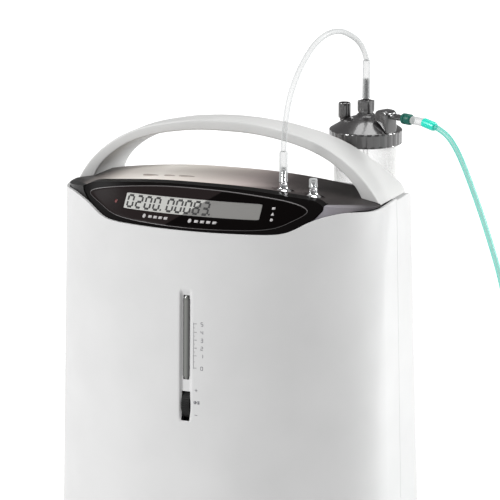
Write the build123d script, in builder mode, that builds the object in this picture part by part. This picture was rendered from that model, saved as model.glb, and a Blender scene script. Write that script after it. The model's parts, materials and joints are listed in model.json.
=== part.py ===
from build123d import *
import math
import os

os.makedirs("parts", exist_ok=True)

# ---------------------------------------------------------------- driving dimensions (mm)
# Row frame: +Z up, X to the object's right seen from the front, front towards -Y, floor at z = 0.
YW = -13.0  # the widest line of the casing's plan, measured from the origin
HALF_WIDTH = 195.0  # half the casing's width at the floor
FRONT_REACH = 120.0  # elliptical front, from the widest line, at the floor
REAR_REACH = 131.0  # flat rear, from the widest line, at the floor
REAR_CORNER = 30.0
DRAFT = 0.03  # the casing narrows by this much per millimetre of height, on each side
WALL = 3.0
SHELL_LOW = 14.0
SHELL_HIGH = 440.0
SEAM_Y = YW + 43.0  # joint between the front and rear shells
RIM_SIDE = 405.0  # height of the shells' rim at the sides
GAP = 0.4  # visible joint gap between mouldings

BOTTLE = (126.0, YW + 105.0)  # axis of the humidifier bottle
NICHE_RADIUS = 40.0
NICHE_FLOOR = 312.0

OUTLETS = ((80.8, YW - 33.0), (114.5, YW - 33.0))
OUTLET_DROP = (0.0, 3.4)  # the deck's crown falls towards the side
BARB_TOP = (446.0, 435.4)
STRIP_LOW = 177.6
STRIP_HIGH = 325.5
WHEEL_Z = 196.0
WHEEL_RADIUS = 19.0
FLOW_Y = YW - 108.0  # front plane of the flow strip

SHAFT_Y = YW + 15.0
SHAFT_Z = 112.0
CRANK_X = (-124.0, 14.0)
THROW = 3.0  # eccentricity of the wobble pistons' cranks
FAN = (-55.0, YW + 15.0, 262.0)

TUBE_RADIUS = 3.0
COIL = (288.0, YW + 54.0)
COIL_RADIUS = 33.0
COIL_TURNS = 7


def keep(name, builder):
    """Label a finished piece and write it as its own STEP file."""
    builder.part.label = name
    export_step(builder.part, f"parts/{name}.step")


def casing_plan(z, inset=0.0):
    """The casing's outline at height z: elliptical front, straight sides, rounded rear corners."""
    a = HALF_WIDTH - DRAFT * z - inset
    f = FRONT_REACH - DRAFT * z - inset
    r = REAR_REACH - DRAFT * z - inset
    c = REAR_CORNER - inset
    with BuildSketch(Plane.XY.offset(z)) as plan:
        with BuildLine():
            EllipticalCenterArc((0, YW), a, f, start_angle=180, arc_size=180)
            Line((a, YW), (a, YW + r - c))
            CenterArc((a - c, YW + r - c), c, 0, 90)
            Line((a - c, YW + r), (c - a, YW + r))
            CenterArc((c - a, YW + r - c), c, 90, 90)
            Line((-a, YW + r - c), (-a, YW))
        make_face()
    return plan.sketch


def casing_block(low, high, inset, mode=Mode.ADD):
    """A solid of the casing's outside, drafted, between two heights."""
    loft([casing_plan(low, inset), casing_plan(high, inset)], ruled=True, mode=mode)


RIM_HALF = (
    (86, 386.9), (100, 387.8), (110, 390.2), (119, 394.2), (131, 400.4), (146, 405.2), (164, 407.6),
    (184, RIM_SIDE),
)
CROWN_HALF = ((0, 426.0), (53, 425.0), (106, 420.5), (140, 415.8), (165, 411.0), (184, 406.3))


def mirrored(points):
    """The same points on the left, in order from left to right."""
    return [(-x, z) for x, z in reversed(points)]


def above_rim(lift):
    """Front-view region above the front shell's rim line, raised by lift."""
    right = [(x, z + lift) for x, z in RIM_HALF]
    left = mirrored(right)
    with BuildSketch(Plane.XZ) as region:
        with BuildLine():
            Polyline((-184, RIM_SIDE + lift), (-230, RIM_SIDE + lift), (-230, 500))
            Polyline((-230, 500), (230, 500), (230, RIM_SIDE + lift), (184, RIM_SIDE + lift))
            Spline(*right, tangents=[(1, 0), (1, -0.1)])
            Line(left[-1], right[0])
            Spline(*left, tangents=[(1, 0.1), (1, 0)])
        make_face()
    return region.sketch


def above_crown(lift):
    """Front-view region above the deck's crowned top line, raised by lift."""
    right = [(x, z + lift) for x, z in CROWN_HALF]
    line = mirrored(right) + right[1:]
    with BuildSketch(Plane.XZ) as region:
        with BuildLine():
            Spline(*line)
            side = line[0][1]
            Polyline(line[-1], (230, side), (230, 500), (-230, 500), (-230, side), line[0])
        make_face()
    return region.sketch


ROOF_FRONT = 422.0
ROOF_SEAT = 405.6  # behind the handle's feet
ROOF_REAR = 390.0


def above_roof(lift):
    """Side-view region above the roof line, which falls towards the rear."""
    front, rear = SEAM_Y, YW + REAR_REACH
    with BuildSketch(Plane.YZ) as region:
        with BuildLine():
            Polyline(
                (front - 10, ROOF_FRONT + lift), (front - 10, 520), (rear + 20, 520),
                (rear + 20, ROOF_REAR + lift), (rear - 16, ROOF_REAR + lift + 1), (YW + 77, ROOF_SEAT + lift),
                (front, ROOF_FRONT + lift), (front - 10, ROOF_FRONT + lift),
            )
        make_face()
    return region.sketch


# ---------------------------------------------------------------- casing shells
with BuildPart() as front_shell:
    casing_block(SHELL_LOW, SHELL_HIGH, 0)
    casing_block(SHELL_LOW, SHELL_HIGH, WALL, Mode.SUBTRACT)
    with Locations((0, SEAM_Y + 150, 230)):
        Box(500, 300, 500, mode=Mode.SUBTRACT)
    extrude(above_rim(0), amount=300, both=True, mode=Mode.SUBTRACT)
    # slot for the flow strip
    with Locations((0, FLOW_Y, (STRIP_LOW + STRIP_HIGH) / 2)):
        Box(15.0, 30, STRIP_HIGH - STRIP_LOW + 1, mode=Mode.SUBTRACT)
keep("front_shell", front_shell)

with BuildPart() as rear_cavity:
    casing_block(SHELL_LOW - 1, SHELL_HIGH, WALL)
    extrude(above_crown(-7.0), amount=300, both=True, mode=Mode.SUBTRACT)
    extrude(above_roof(-WALL), amount=300, both=True, mode=Mode.SUBTRACT)
    with Locations((-167 - 40, SEAM_Y + 60, 450), (167 + 40, SEAM_Y + 60, 450)):
        Box(104, 200, 94, mode=Mode.SUBTRACT)

FILTER_X = -70.0
FILTER_Z = 300.0
POWER_X = -118.0
POWER_Z = 70.0
with BuildPart() as rear_shell:
    casing_block(SHELL_LOW, SHELL_HIGH, 0)
    add(rear_cavity.part, mode=Mode.SUBTRACT)
    # half-round niche for the humidifier bottle
    with Locations((BOTTLE[0], BOTTLE[1], NICHE_FLOOR - 3)):
        Cylinder(NICHE_RADIUS + 3, 130, align=(Align.CENTER, Align.CENTER, Align.MIN))
    with Locations((BOTTLE[0], BOTTLE[1], NICHE_FLOOR)):
        Cylinder(NICHE_RADIUS, 200, align=(Align.CENTER, Align.CENTER, Align.MIN), mode=Mode.SUBTRACT)
    casing_block(SHELL_LOW, SHELL_HIGH, 0, Mode.INTERSECT)
    extrude(above_crown(-4.0), amount=300, both=True, mode=Mode.SUBTRACT)
    extrude(above_roof(0), amount=300, both=True, mode=Mode.SUBTRACT)
    with Locations((0, SEAM_Y - 148 + GAP, 230)):
        Box(500, 300 - 4, 500, mode=Mode.SUBTRACT)
    # seats for the handle's feet
    with Locations((-200, YW + 60, RIM_SIDE + 30), (200, YW + 60, RIM_SIDE + 30)):
        Box(104, 200, 60, mode=Mode.SUBTRACT)
    # openings in the rear wall: intake filter, power inlet and switch, outlet louvres
    with Locations((FILTER_X, YW + 125, FILTER_Z)):
        Box(100, 60, 76, mode=Mode.SUBTRACT)
    with Locations((POWER_X, YW + 125, POWER_Z)):
        Box(48.6, 60, 66.6, mode=Mode.SUBTRACT)
    with Locations(*[(30, YW + 125, 50 + 12 * i) for i in range(9)]):
        Box(120, 40, 5, mode=Mode.SUBTRACT)
keep("rear_shell", rear_shell)

# ---------------------------------------------------------------- carry handle
HANDLE_OUT = ((0, 485.5), (79, 478.0), (110, 469.0), (149, 446.0), (167, 427.0), (178, 411.0))
HANDLE_IN = ((0, 473.3), (79, 471.0), (110, 458.0), (128, 447.0), (146, 429.0), (157, 411.0))
HANDLE_FOOT = 405.8
with BuildPart() as carry_handle:
    with BuildSketch(Plane.XZ.offset(-YW)):
        with BuildLine():
            right = list(HANDLE_OUT) + [(181, HANDLE_FOOT)]
            line = mirrored(right) + right[1:]
            Spline(*line)
            inner = list(HANDLE_IN) + [(158.5, HANDLE_FOOT)]
            inside = mirrored(inner) + inner[1:]
            Spline(*inside)
            Line(line[0], inside[0])
            Line(line[-1], inside[-1])
        make_face()
    extrude(amount=-75)
    with BuildSketch(Plane.YZ):
        with BuildLine():
            Polyline(
                (YW + 2, 400), (YW + 0, 430), (YW + 0, 483.5), (YW + 3, 486.5), (YW + 25, 490),
                (YW + 50, 487), (YW + 56, 482), (YW + 58, 470), (YW + 61, 445), (YW + 69, 420),
                (YW + 75, 400), (YW + 2, 400),
            )
        make_face()
    extrude(amount=260, both=True, mode=Mode.INTERSECT)
keep("carry_handle", carry_handle)

# ---------------------------------------------------------------- deck and console
HOOD_LOW = 386.0
HOOD_HIGH = 432.0
HOOD_BACK = YW - 52.0
HOOD_MARGIN = 0.9  # gap all round the console in the deck


def hood_face(z, proud):
    """Plan of the console at height z; the front is a shallow arc, proud of the hood's face."""
    t = (z - HOOD_LOW) / (HOOD_HIGH - HOOD_LOW)
    middle = YW - 107.0 + 44.5 * t - proud
    end = YW - 64.5 + 2.5 * t - proud
    with BuildSketch(Plane.XY.offset(z)) as plan:
        with BuildLine():
            ThreePointArc((-152, end), (0, middle), (152, end))
            Polyline((152, end), (152, HOOD_BACK), (-152, HOOD_BACK), (-152, end))
        make_face()
    return plan.sketch


def hood_block(proud, mode=Mode.ADD):
    loft([hood_face(HOOD_LOW, proud), hood_face(HOOD_HIGH, proud)], ruled=True, mode=mode)


NOSE = 137.5  # half the console's width
LENS_CROWN = ((0, 427.6), (60, 426.6), (115, 422.6), (131, 419.6), (NOSE, 415.0))
LENS_LOW = (
    (86, 387.5), (100, 388.6), (110, 391.2), (118, 395.2), (126.5, 400.8), (132, 406.6), (NOSE - 0.6, 412.4),
)


def lens_outline(grow):
    """Front-view outline of the console, grown or shrunk by grow."""
    half = [(x + grow * (x / NOSE), z + grow) for x, z in LENS_CROWN]
    top = mirrored(half) + half[1:]
    right = [(x + grow * (x / NOSE), z - grow) for x, z in LENS_LOW]
    left = mirrored(right)
    with BuildSketch(Plane.XZ) as outline:
        with BuildLine():
            Spline(*top)
            Line(top[-1], right[-1])
            Spline(*reversed(right))
            Line(right[0], left[-1])
            Spline(*reversed(left))
            Line(left[0], top[0])
        make_face()
    return outline.sketch


def window_outline():
    """Front-view outline of the glossy window inside the console's rim."""
    points = (
        (-128, 411), (-112, 401), (-86, 392.6), (-30, 390.2), (30, 390.2), (84, 392.6),
        (108, 401), (121, 411), (100, 418.5), (50, 423.0), (0, 424.4), (-50, 423.4), (-104, 418.0),
    )
    with BuildSketch(Plane.XZ) as outline:
        with BuildLine():
            Spline(*points, periodic=True)
        make_face()
    return outline.sketch


LCD_X = -4.0
LCD_Z = 408.0
with BuildPart() as console_housing:
    hood_block(0)
    extrude(lens_outline(0), amount=300, both=True, mode=Mode.INTERSECT)
    with BuildPart(mode=Mode.PRIVATE) as hood_inside:
        hood_block(-4.0)
        extrude(window_outline(), amount=300, both=True, mode=Mode.INTERSECT)
    add(hood_inside.part, mode=Mode.SUBTRACT)
    with Locations((LCD_X, YW - 90, LCD_Z)):
        Box(157, 60, 15.6, mode=Mode.SUBTRACT)
keep("console_housing", console_housing)

with BuildPart() as console_lens:
    hood_block(1.6)
    extrude(window_outline(), amount=300, both=True, mode=Mode.INTERSECT)
    hood_block(0, Mode.SUBTRACT)
    with Locations((LCD_X, YW - 90, LCD_Z)):
        Box(157, 60, 15.6, mode=Mode.SUBTRACT)
keep("console_lens", console_lens)

with BuildPart() as lcd_window:
    hood_block(1.2)
    with Locations((LCD_X, YW - 90, LCD_Z)):
        Box(156.4, 120, 15.0, mode=Mode.INTERSECT)
    hood_block(-3.0, Mode.SUBTRACT)
keep("lcd_window", lcd_window)

with BuildPart() as display_board:
    with BuildSketch(Plane(origin=(LCD_X, YW - 78.0, 402.0), x_dir=(1, 0, 0), z_dir=(0, -1, 1))):
        Rectangle(130, 17)
    extrude(amount=-1.6)
keep("display_board", display_board)


def deck_side(drop):
    """Side-view region below the deck's top line."""
    with BuildSketch(Plane.YZ) as region:
        with BuildLine():
            Polyline(
                (SEAM_Y - GAP - 2.6, 340), (SEAM_Y - GAP - 2.6, 430), (YW - 52, 430 - drop),
                (YW - 58, 424 - drop), (YW - 112, 384 - drop), (YW - 112, 340), (SEAM_Y - GAP - 2.6, 340),
            )
        make_face()
    return region.sketch


RECESS_FLOOR = 420.6


def eye_outline(x, y, z):
    """Plan of an outlet's recess: two arcs that meet in points left and right."""
    with BuildSketch(Plane.XY.offset(z)) as eye:
        with BuildLine():
            ThreePointArc((x - 13.5, y), (x, y + 7.8), (x + 13.5, y))
            ThreePointArc((x + 13.5, y), (x, y - 7.8), (x - 13.5, y))
        make_face()
    return eye.sketch


DECK_SKIN = 3.0
DECK_INSET = 3.3  # the deck drops inside the shells' rim
with BuildPart() as deck_inside:
    casing_block(370, 440, DECK_SKIN + DECK_INSET)
    extrude(above_crown(-DECK_SKIN), amount=300, both=True, mode=Mode.SUBTRACT)
    extrude(deck_side(DECK_SKIN + 1), amount=260, both=True, mode=Mode.INTERSECT)

with BuildPart() as hood_room:
    extrude(lens_outline(HOOD_MARGIN), amount=300, both=True)
    with Locations((0, HOOD_BACK + 150 + GAP, 410)):
        Box(500, 300, 100, mode=Mode.SUBTRACT)

with BuildPart() as top_deck:
    casing_block(370, 440, DECK_INSET)
    extrude(above_crown(0), amount=300, both=True, mode=Mode.SUBTRACT)
    extrude(deck_side(0), amount=260, both=True, mode=Mode.INTERSECT)
    add(deck_inside.part, mode=Mode.SUBTRACT)
    with BuildPart(mode=Mode.PRIVATE) as below_rim:
        extrude(above_rim(GAP), amount=300, both=True)
    add(below_rim.part, mode=Mode.INTERSECT)
    add(hood_room.part, mode=Mode.SUBTRACT)
    with Locations((-200, YW + 49, 420), (200, YW + 49, 420)):
        Box(89, 100, 100, mode=Mode.SUBTRACT)
    # eye-shaped recess for each outlet, its floor below the deck's skin
    for (x, y), drop in zip(OUTLETS, OUTLET_DROP):
        extrude(eye_outline(x, y, RECESS_FLOOR - drop), amount=20, mode=Mode.SUBTRACT)
        with Locations((x, y, RECESS_FLOOR - drop - 1.5)):
            Box(32, 19, 3)
            Cylinder(3.1, 20, mode=Mode.SUBTRACT)
keep("top_deck", top_deck)

# ---------------------------------------------------------------- oxygen outlets on the deck
with BuildPart() as outlet_fittings:
    for (x, y), drop, tip in zip(OUTLETS, OUTLET_DROP, BARB_TOP):
        base = RECESS_FLOOR - drop + 0.3
        with BuildSketch(Plane.XZ.offset(-y)):
            with BuildLine():
                Polyline(
                    (x, base - 17), (x + 2.8, base - 17), (x + 2.8, base), (x + 6.4, base),
                    (x + 6.4, base + 2), (x + 4.6, base + 3), (x + 4.6, base + 9), (x + 2.6, base + 10),
                    (x + 2.6, tip), (x, tip), (x, base - 17),
                )
            make_face()
        revolve(axis=Axis((x, y, 0), (0, 0, 1)))
        with Locations((x, y, base - 4)):
            Cylinder(1.4, 80, mode=Mode.SUBTRACT)
keep("outlet_fittings", outlet_fittings)

SLEEVE_LOW = RECESS_FLOOR + 11.0
CAP_LOW = SLEEVE_LOW - OUTLET_DROP[1]
with BuildPart() as outlet_cap:
    with Locations((OUTLETS[1][0], OUTLETS[1][1], CAP_LOW)):
        Cylinder(4.75, 9.4, align=(Align.CENTER, Align.CENTER, Align.MIN))
        Cylinder(3.1, 8.0, align=(Align.CENTER, Align.CENTER, Align.MIN), mode=Mode.SUBTRACT)
keep("outlet_cap", outlet_cap)

# ---------------------------------------------------------------- flow meter
STRIP_MID = (STRIP_LOW + STRIP_HIGH) / 2
STRIP_TALL = STRIP_HIGH - STRIP_LOW
WINDOW_LOW = 222.0
WINDOW_HIGH = 319.0
FLOW_FACE = YW - 111.8
with BuildPart() as flow_bezel:
    with BuildSketch(Plane.XZ.offset(-FLOW_FACE)):
        with Locations((0, STRIP_MID)):
            Rectangle(14.2, STRIP_TALL)
        with Locations((0, (WINDOW_LOW + WINDOW_HIGH) / 2)):
            SlotOverall(WINDOW_HIGH - WINDOW_LOW, 8.6, rotation=90, mode=Mode.SUBTRACT)
        with Locations((0, WHEEL_Z)):
            SlotOverall(34.0, 9.8, rotation=90, mode=Mode.SUBTRACT)
    extrude(amount=-2.0)
keep("flow_bezel", flow_bezel)

TUBE_Y = FLOW_FACE + 9.0
with BuildPart() as flow_tube:
    with Locations((0, TUBE_Y, (WINDOW_LOW + WINDOW_HIGH) / 2)):
        Box(13.6, 13.6, 106)
        Cylinder(3.4, 100, mode=Mode.SUBTRACT)
keep("flow_tube", flow_tube)

with BuildPart() as flow_float:
    with Locations((0, TUBE_Y, WINDOW_LOW + 2)):
        Sphere(2.9)
keep("flow_float", flow_float)

WHEEL_Y = FLOW_FACE + WHEEL_RADIUS - 2.5
with BuildPart() as flow_wheel:
    with BuildSketch(Plane.YZ.offset(-4.35)):
        with Locations((WHEEL_Y, WHEEL_Z)):
            Circle(WHEEL_RADIUS)
            Circle(3.05, mode=Mode.SUBTRACT)
            with PolarLocations(WHEEL_RADIUS + 0.2, 48):
                Circle(0.6, mode=Mode.SUBTRACT)
    extrude(amount=8.7)
keep("flow_wheel", flow_wheel)

with BuildPart() as needle_valve_body:
    with Locations((21.5, WHEEL_Y, WHEEL_Z)):
        Box(26, 16, 16)
    with Locations((20, WHEEL_Y, WHEEL_Z)):
        Cylinder(3.05, 23.1, rotation=(0, 90, 0), mode=Mode.SUBTRACT)
    with Locations((-14.5, WHEEL_Y, WHEEL_Z)):
        Box(8, 16, 16)
        Cylinder(3.05, 20, rotation=(0, 90, 0), mode=Mode.SUBTRACT)
    with Locations((8, WHEEL_Y + 23.5, WHEEL_Z)):
        Box(53, 3, 16)
    with Locations((31, WHEEL_Y + 15, WHEEL_Z)):
        Box(7, 15, 16)
    with Locations((-14.5, WHEEL_Y + 15, WHEEL_Z)):
        Box(8, 15, 16)
keep("needle_valve_body", needle_valve_body)

with BuildPart() as valve_needle:
    with BuildSketch(Plane.XZ.offset(-WHEEL_Y)):
        with BuildLine():
            Polyline(
                (-21, WHEEL_Z), (-21, WHEEL_Z + 3), (22, WHEEL_Z + 3), (27, WHEEL_Z + 0.6),
                (27, WHEEL_Z), (-21, WHEEL_Z),
            )
        make_face()
    revolve(axis=Axis((0, WHEEL_Y, WHEEL_Z), (1, 0, 0)))
keep("valve_needle", valve_needle)

# ---------------------------------------------------------------- base, feet and compressor tray
with BuildPart() as base_pan:
    casing_block(18.0, 36.0, WALL + GAP)
    casing_block(21.5, 36.0, WALL + GAP + 3.0, Mode.SUBTRACT)
    with Locations(*[(x, YW + y, 19.5) for x, y in ((-140, -45), (140, -45), (-140, 90), (140, 90))]):
        Cylinder(2.5, 20, mode=Mode.SUBTRACT)
keep("base_pan", base_pan)

FEET = ((-140, YW - 45), (140, YW - 45), (-140, YW + 90), (140, YW + 90))
with BuildPart() as rubber_feet:
    for x, y in FEET:
        with Locations((x, y, 0)):
            Cone(15, 18, 17.9, align=(Align.CENTER, Align.CENTER, Align.MIN))
            Cylinder(5.5, 6, align=(Align.CENTER, Align.CENTER, Align.MIN), mode=Mode.SUBTRACT)
            Cylinder(2.5, 40, mode=Mode.SUBTRACT)
keep("rubber_feet", rubber_feet)

PLATE_Z = 50.0
PLATE_X = (CRANK_X[0] + CRANK_X[1]) / 2
MOUNTS = [(PLATE_X + sx * 92, SHAFT_Y + sy * 48) for sx in (-1, 1) for sy in (-1, 1)]
with BuildPart() as isolation_mounts:
    for x, y in MOUNTS:
        with BuildSketch(Plane.XZ.offset(-y)):
            with BuildLine():
                Polyline((x, 21.6), (x + 11, 21.6), (x + 11, 27))
                ThreePointArc((x + 11, 27), (x + 7.5, 35.5), (x + 11, 44))
                Polyline((x + 11, 44), (x + 11, PLATE_Z - 0.1), (x, PLATE_Z - 0.1), (x, 21.6))
            make_face()
        revolve(axis=Axis((x, y, 0), (0, 0, 1)))
keep("isolation_mounts", isolation_mounts)

with BuildPart() as compressor_plate:
    with Locations((PLATE_X, SHAFT_Y, PLATE_Z + 1.5)):
        Box(216, 124, 3)
    with Locations((PLATE_X, SHAFT_Y - 60.5, PLATE_Z + 7), (PLATE_X, SHAFT_Y + 60.5, PLATE_Z + 7)):
        Box(216, 3, 14)
keep("compressor_plate", compressor_plate)

# ---------------------------------------------------------------- twin-cylinder compressor
MOTOR_X0 = -93.0
MOTOR_X1 = -17.0
MOTOR_MID = (MOTOR_X0 + MOTOR_X1) / 2
with BuildPart() as motor_housing:
    with Locations((MOTOR_MID, SHAFT_Y, SHAFT_Z)):
        Cylinder(48, MOTOR_X1 - MOTOR_X0, rotation=(0, 90, 0))
        Box(70, 70, 58, align=(Align.CENTER, Align.CENTER, Align.MAX))
        Cylinder(43.5, MOTOR_X1 - MOTOR_X0 + 1, rotation=(0, 90, 0), mode=Mode.SUBTRACT)
keep("motor_housing", motor_housing)

with BuildPart() as motor_stator:
    with Locations((MOTOR_MID, SHAFT_Y, SHAFT_Z)):
        Cylinder(43.4, 50, rotation=(0, 90, 0))
        Cylinder(30, 60, rotation=(0, 90, 0), mode=Mode.SUBTRACT)
keep("motor_stator", motor_stator)

with BuildPart() as crankshaft:
    with Locations((MOTOR_MID, SHAFT_Y, SHAFT_Z)):
        Cylinder(6, 224, rotation=(0, 90, 0))
        Cylinder(29, 50, rotation=(0, 90, 0))
    with Locations(*[(x, SHAFT_Y, SHAFT_Z + THROW) for x in CRANK_X]):
        Cylinder(12, 14, rotation=(0, 90, 0))
    # counterweights opposite the cranks
    with Locations(*[(x + s, SHAFT_Y, SHAFT_Z - 12) for x, s in ((CRANK_X[0], 11.5), (CRANK_X[1], -11.5))]):
        Box(5, 20, 22)
keep("crankshaft", crankshaft)

ROD_TOP = 188.0
CYLINDER_BORE = 25.0


def piston_rod(x):
    """Wobble-piston connecting rod on one crank: ring, web and piston disc in one piece."""
    with BuildPart() as rod:
        with Locations((x, SHAFT_Y, SHAFT_Z + THROW)):
            Cylinder(19, 10, rotation=(0, 90, 0))
        with Locations((x, SHAFT_Y, SHAFT_Z + THROW + 16)):
            Box(10, 13, ROD_TOP - SHAFT_Z - THROW - 18, align=(Align.CENTER, Align.CENTER, Align.MIN))
        with Locations((x, SHAFT_Y, ROD_TOP - 4)):
            Cylinder(CYLINDER_BORE - THROW - 0.6, 6)
        with Locations((x, SHAFT_Y, SHAFT_Z + THROW)):
            Cylinder(12.05, 20, rotation=(0, 90, 0), mode=Mode.SUBTRACT)
    return rod


piston_rod_left = piston_rod(CRANK_X[0])
keep("piston_rod_left", piston_rod_left)
piston_rod_right = piston_rod(CRANK_X[1])
keep("piston_rod_right", piston_rod_right)

with BuildPart() as crankcases:
    for x, side in ((CRANK_X[0], -1), (CRANK_X[1], 1)):
        with Locations((x, SHAFT_Y, SHAFT_Z)):
            Box(44, 88, 88)
        with Locations((x, SHAFT_Y, SHAFT_Z + 44)):
            Cylinder(CYLINDER_BORE + 5, 37, align=(Align.CENTER, Align.CENTER, Align.MIN))
        with Locations((x, SHAFT_Y, SHAFT_Z - 44)):
            Box(44, 70, SHAFT_Z - 44 - PLATE_Z - 3.05, align=(Align.CENTER, Align.CENTER, Align.MAX))
        with Locations((x, SHAFT_Y, SHAFT_Z)):
            Cylinder(38, 34, rotation=(0, 90, 0), mode=Mode.SUBTRACT)
            Cylinder(6.05, 60, rotation=(0, 90, 0), mode=Mode.SUBTRACT)
        with Locations((x, SHAFT_Y, SHAFT_Z)):
            Cylinder(CYLINDER_BORE, 100, align=(Align.CENTER, Align.CENTER, Align.MIN), mode=Mode.SUBTRACT)
keep("crankcases", crankcases)

HEAD_Z = SHAFT_Z + 81.0
with BuildPart() as cylinder_heads:
    for x in CRANK_X:
        with Locations((x, SHAFT_Y, HEAD_Z)):
            Box(62, 62, 12, align=(Align.CENTER, Align.CENTER, Align.MIN))
        with Locations(*[(x + 6 * (i - 4), SHAFT_Y, HEAD_Z + 11.9) for i in range(9)]):
            Box(2, 60, 7, align=(Align.CENTER, Align.CENTER, Align.MIN))
keep("cylinder_heads", cylinder_heads)

# ---------------------------------------------------------------- cooling fan above the compressor
SHELF_Z = FAN[2] - 14.5
with BuildPart() as fan_shelf:
    with Locations((-45, YW + 14.5, SHELF_Z)):
        Box(206, 136, 3)
    with Locations((FAN[0], FAN[1], SHELF_Z)):
        Cylinder(44, 10, mode=Mode.SUBTRACT)
    with Locations(*[(x, YW + y, SHELF_Z - 1) for x in (-126, 18) for y in (-52, 81)]):
        Box(26, 3, SHELF_Z - 1 - 21.6, align=(Align.CENTER, Align.CENTER, Align.MAX))
keep("fan_shelf", fan_shelf)

with BuildPart() as fan_frame:
    with Locations(FAN):
        Box(92, 92, 25)
        Cylinder(43, 30, mode=Mode.SUBTRACT)
    with Locations((FAN[0], FAN[1], FAN[2] - 10.5)):
        Box(90, 5, 4)
        Box(5, 90, 4)
        Cylinder(16, 4)
        Cylinder(2.55, 20, mode=Mode.SUBTRACT)
keep("fan_frame", fan_frame)

with BuildPart() as fan_rotor:
    with Locations((FAN[0], FAN[1], FAN[2] - 7.5)):
        Cylinder(17, 19, align=(Align.CENTER, Align.CENTER, Align.MIN))
    with Locations((FAN[0], FAN[1], FAN[2] - 12)):
        Cylinder(2.5, 8, align=(Align.CENTER, Align.CENTER, Align.MIN))
    blades = [Location(FAN, (0, 0, i * 360 / 7)) * Location((28.5, 0, 0), (35, 0, 0)) for i in range(7)]
    with Locations(*blades):
        Box(25, 19, 1.6)
keep("fan_rotor", fan_rotor)

# ---------------------------------------------------------------- molecular sieve beds, valves, product tank
BEDS = ((120.0, YW - 36.0), (120.0, YW + 34.0))
BED_LOW = 21.7
BED_HIGH = 292.0


def sieve_bed(x, y):
    """One adsorption column: aluminium tube with a flanged cap crimped on each end."""
    with BuildPart() as bed:
        with Locations((x, y, BED_LOW)):
            Cylinder(31, BED_HIGH - BED_LOW, align=(Align.CENTER, Align.CENTER, Align.MIN))
            Cylinder(33.5, 12, align=(Align.CENTER, Align.CENTER, Align.MIN))
        with Locations((x, y, BED_HIGH - 12)):
            Cylinder(33.5, 12, align=(Align.CENTER, Align.CENTER, Align.MIN))
        chamfer(bed.edges().filter_by(GeomType.CIRCLE).group_by(SortBy.RADIUS)[-1], length=1.5)
    return bed


sieve_bed_a = sieve_bed(*BEDS[0])
keep("sieve_bed_a", sieve_bed_a)
sieve_bed_b = sieve_bed(*BEDS[1])
keep("sieve_bed_b", sieve_bed_b)

TANK = (64.0, YW - 68.0)
with BuildPart() as product_tank:
    with Locations((TANK[0], TANK[1], 21.6)):
        Cylinder(22, 170, align=(Align.CENTER, Align.CENTER, Align.MIN))
    fillet(product_tank.edges().filter_by(GeomType.CIRCLE), radius=6)
    with Locations((TANK[0], TANK[1], 190)):
        Cylinder(4, 14, align=(Align.CENTER, Align.CENTER, Align.MIN))
keep("product_tank", product_tank)

VALVE_Z = BED_HIGH + 0.1
SOLENOIDS = ((120.0, YW - 34.0), (120.0, YW + 20.0))
with BuildPart() as valve_block:
    with Locations((120, YW - 5, VALVE_Z)):
        Box(56, 106, 20, align=(Align.CENTER, Align.CENTER, Align.MIN))
    with Locations(*[(x, y, VALVE_Z + 6) for x, y in SOLENOIDS]):
        Cylinder(5.3, 30, align=(Align.CENTER, Align.CENTER, Align.MIN), mode=Mode.SUBTRACT)
    with Locations((148, YW - 5, VALVE_Z + 10)):
        Cylinder(4, 16, rotation=(0, 90, 0), align=(Align.CENTER, Align.CENTER, Align.MIN))
    with Locations((92, YW - 5, VALVE_Z + 10)):
        Cylinder(4, 16, rotation=(0, -90, 0), align=(Align.CENTER, Align.CENTER, Align.MIN))
keep("valve_block", valve_block)

with BuildPart() as solenoid_coils:
    for x, y in SOLENOIDS:
        with Locations((x, y, VALVE_Z + 20.1)):
            Box(26, 26, 32, align=(Align.CENTER, Align.CENTER, Align.MIN))
            Cylinder(5.3, 28, align=(Align.CENTER, Align.CENTER, Align.MIN), mode=Mode.SUBTRACT)
keep("solenoid_coils", solenoid_coils)


def valve_plunger(x, y):
    """Sprung iron plunger of one solenoid valve."""
    with BuildPart() as plunger:
        with Locations((x, y, VALVE_Z + 6.4)):
            Cylinder(5.25, 34, align=(Align.CENTER, Align.CENTER, Align.MIN))
    return plunger


valve_plunger_a = valve_plunger(*SOLENOIDS[0])
keep("valve_plunger_a", valve_plunger_a)
valve_plunger_b = valve_plunger(*SOLENOIDS[1])
keep("valve_plunger_b", valve_plunger_b)

with BuildPart() as bacteria_filter:
    with Locations((90, YW - 52, 356)):
        Cylinder(18, 16)
        Cylinder(4, 44)
keep("bacteria_filter", bacteria_filter)


def hose(route, radius):
    """A hose along a route of straight runs joined by arcs."""
    with BuildPart() as run:
        with BuildLine() as path:
            FilletPolyline(*route, radius=radius)
        with BuildSketch(Plane(origin=route[0], z_dir=path.line % 0)):
            Circle(4)
        sweep()
    return run


head_hose = hose(
    ((CRANK_X[1] + 31.1, SHAFT_Y, 200), (78, SHAFT_Y, 200), (78, YW - 5, 212), (78, YW - 5, VALVE_Z + 10)), 8,
)
tank_hose = hose(
    ((TANK[0], TANK[1], 204.1), (TANK[0], TANK[1], 300), (90, YW - 52, 316), (90, YW - 52, 333.9)), 5,
)
with BuildPart() as internal_hoses:
    add(head_hose.part)
    add(tank_hose.part)
keep("internal_hoses", internal_hoses)

# ---------------------------------------------------------------- electronics
with BuildPart() as main_board:
    with Locations((-166, YW + 15, 300)):
        Box(1.6, 96, 120)
    with Locations((-152, YW - 8, 330)):
        Box(26.4, 32, 36)
    with Locations((-158, YW + 30, 335)):
        Box(14.4, 26, 26)
    with Locations((-160, YW + 40, 275), (-160, YW + 20, 275)):
        Box(10.4, 12, 22)
keep("main_board", main_board)

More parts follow.
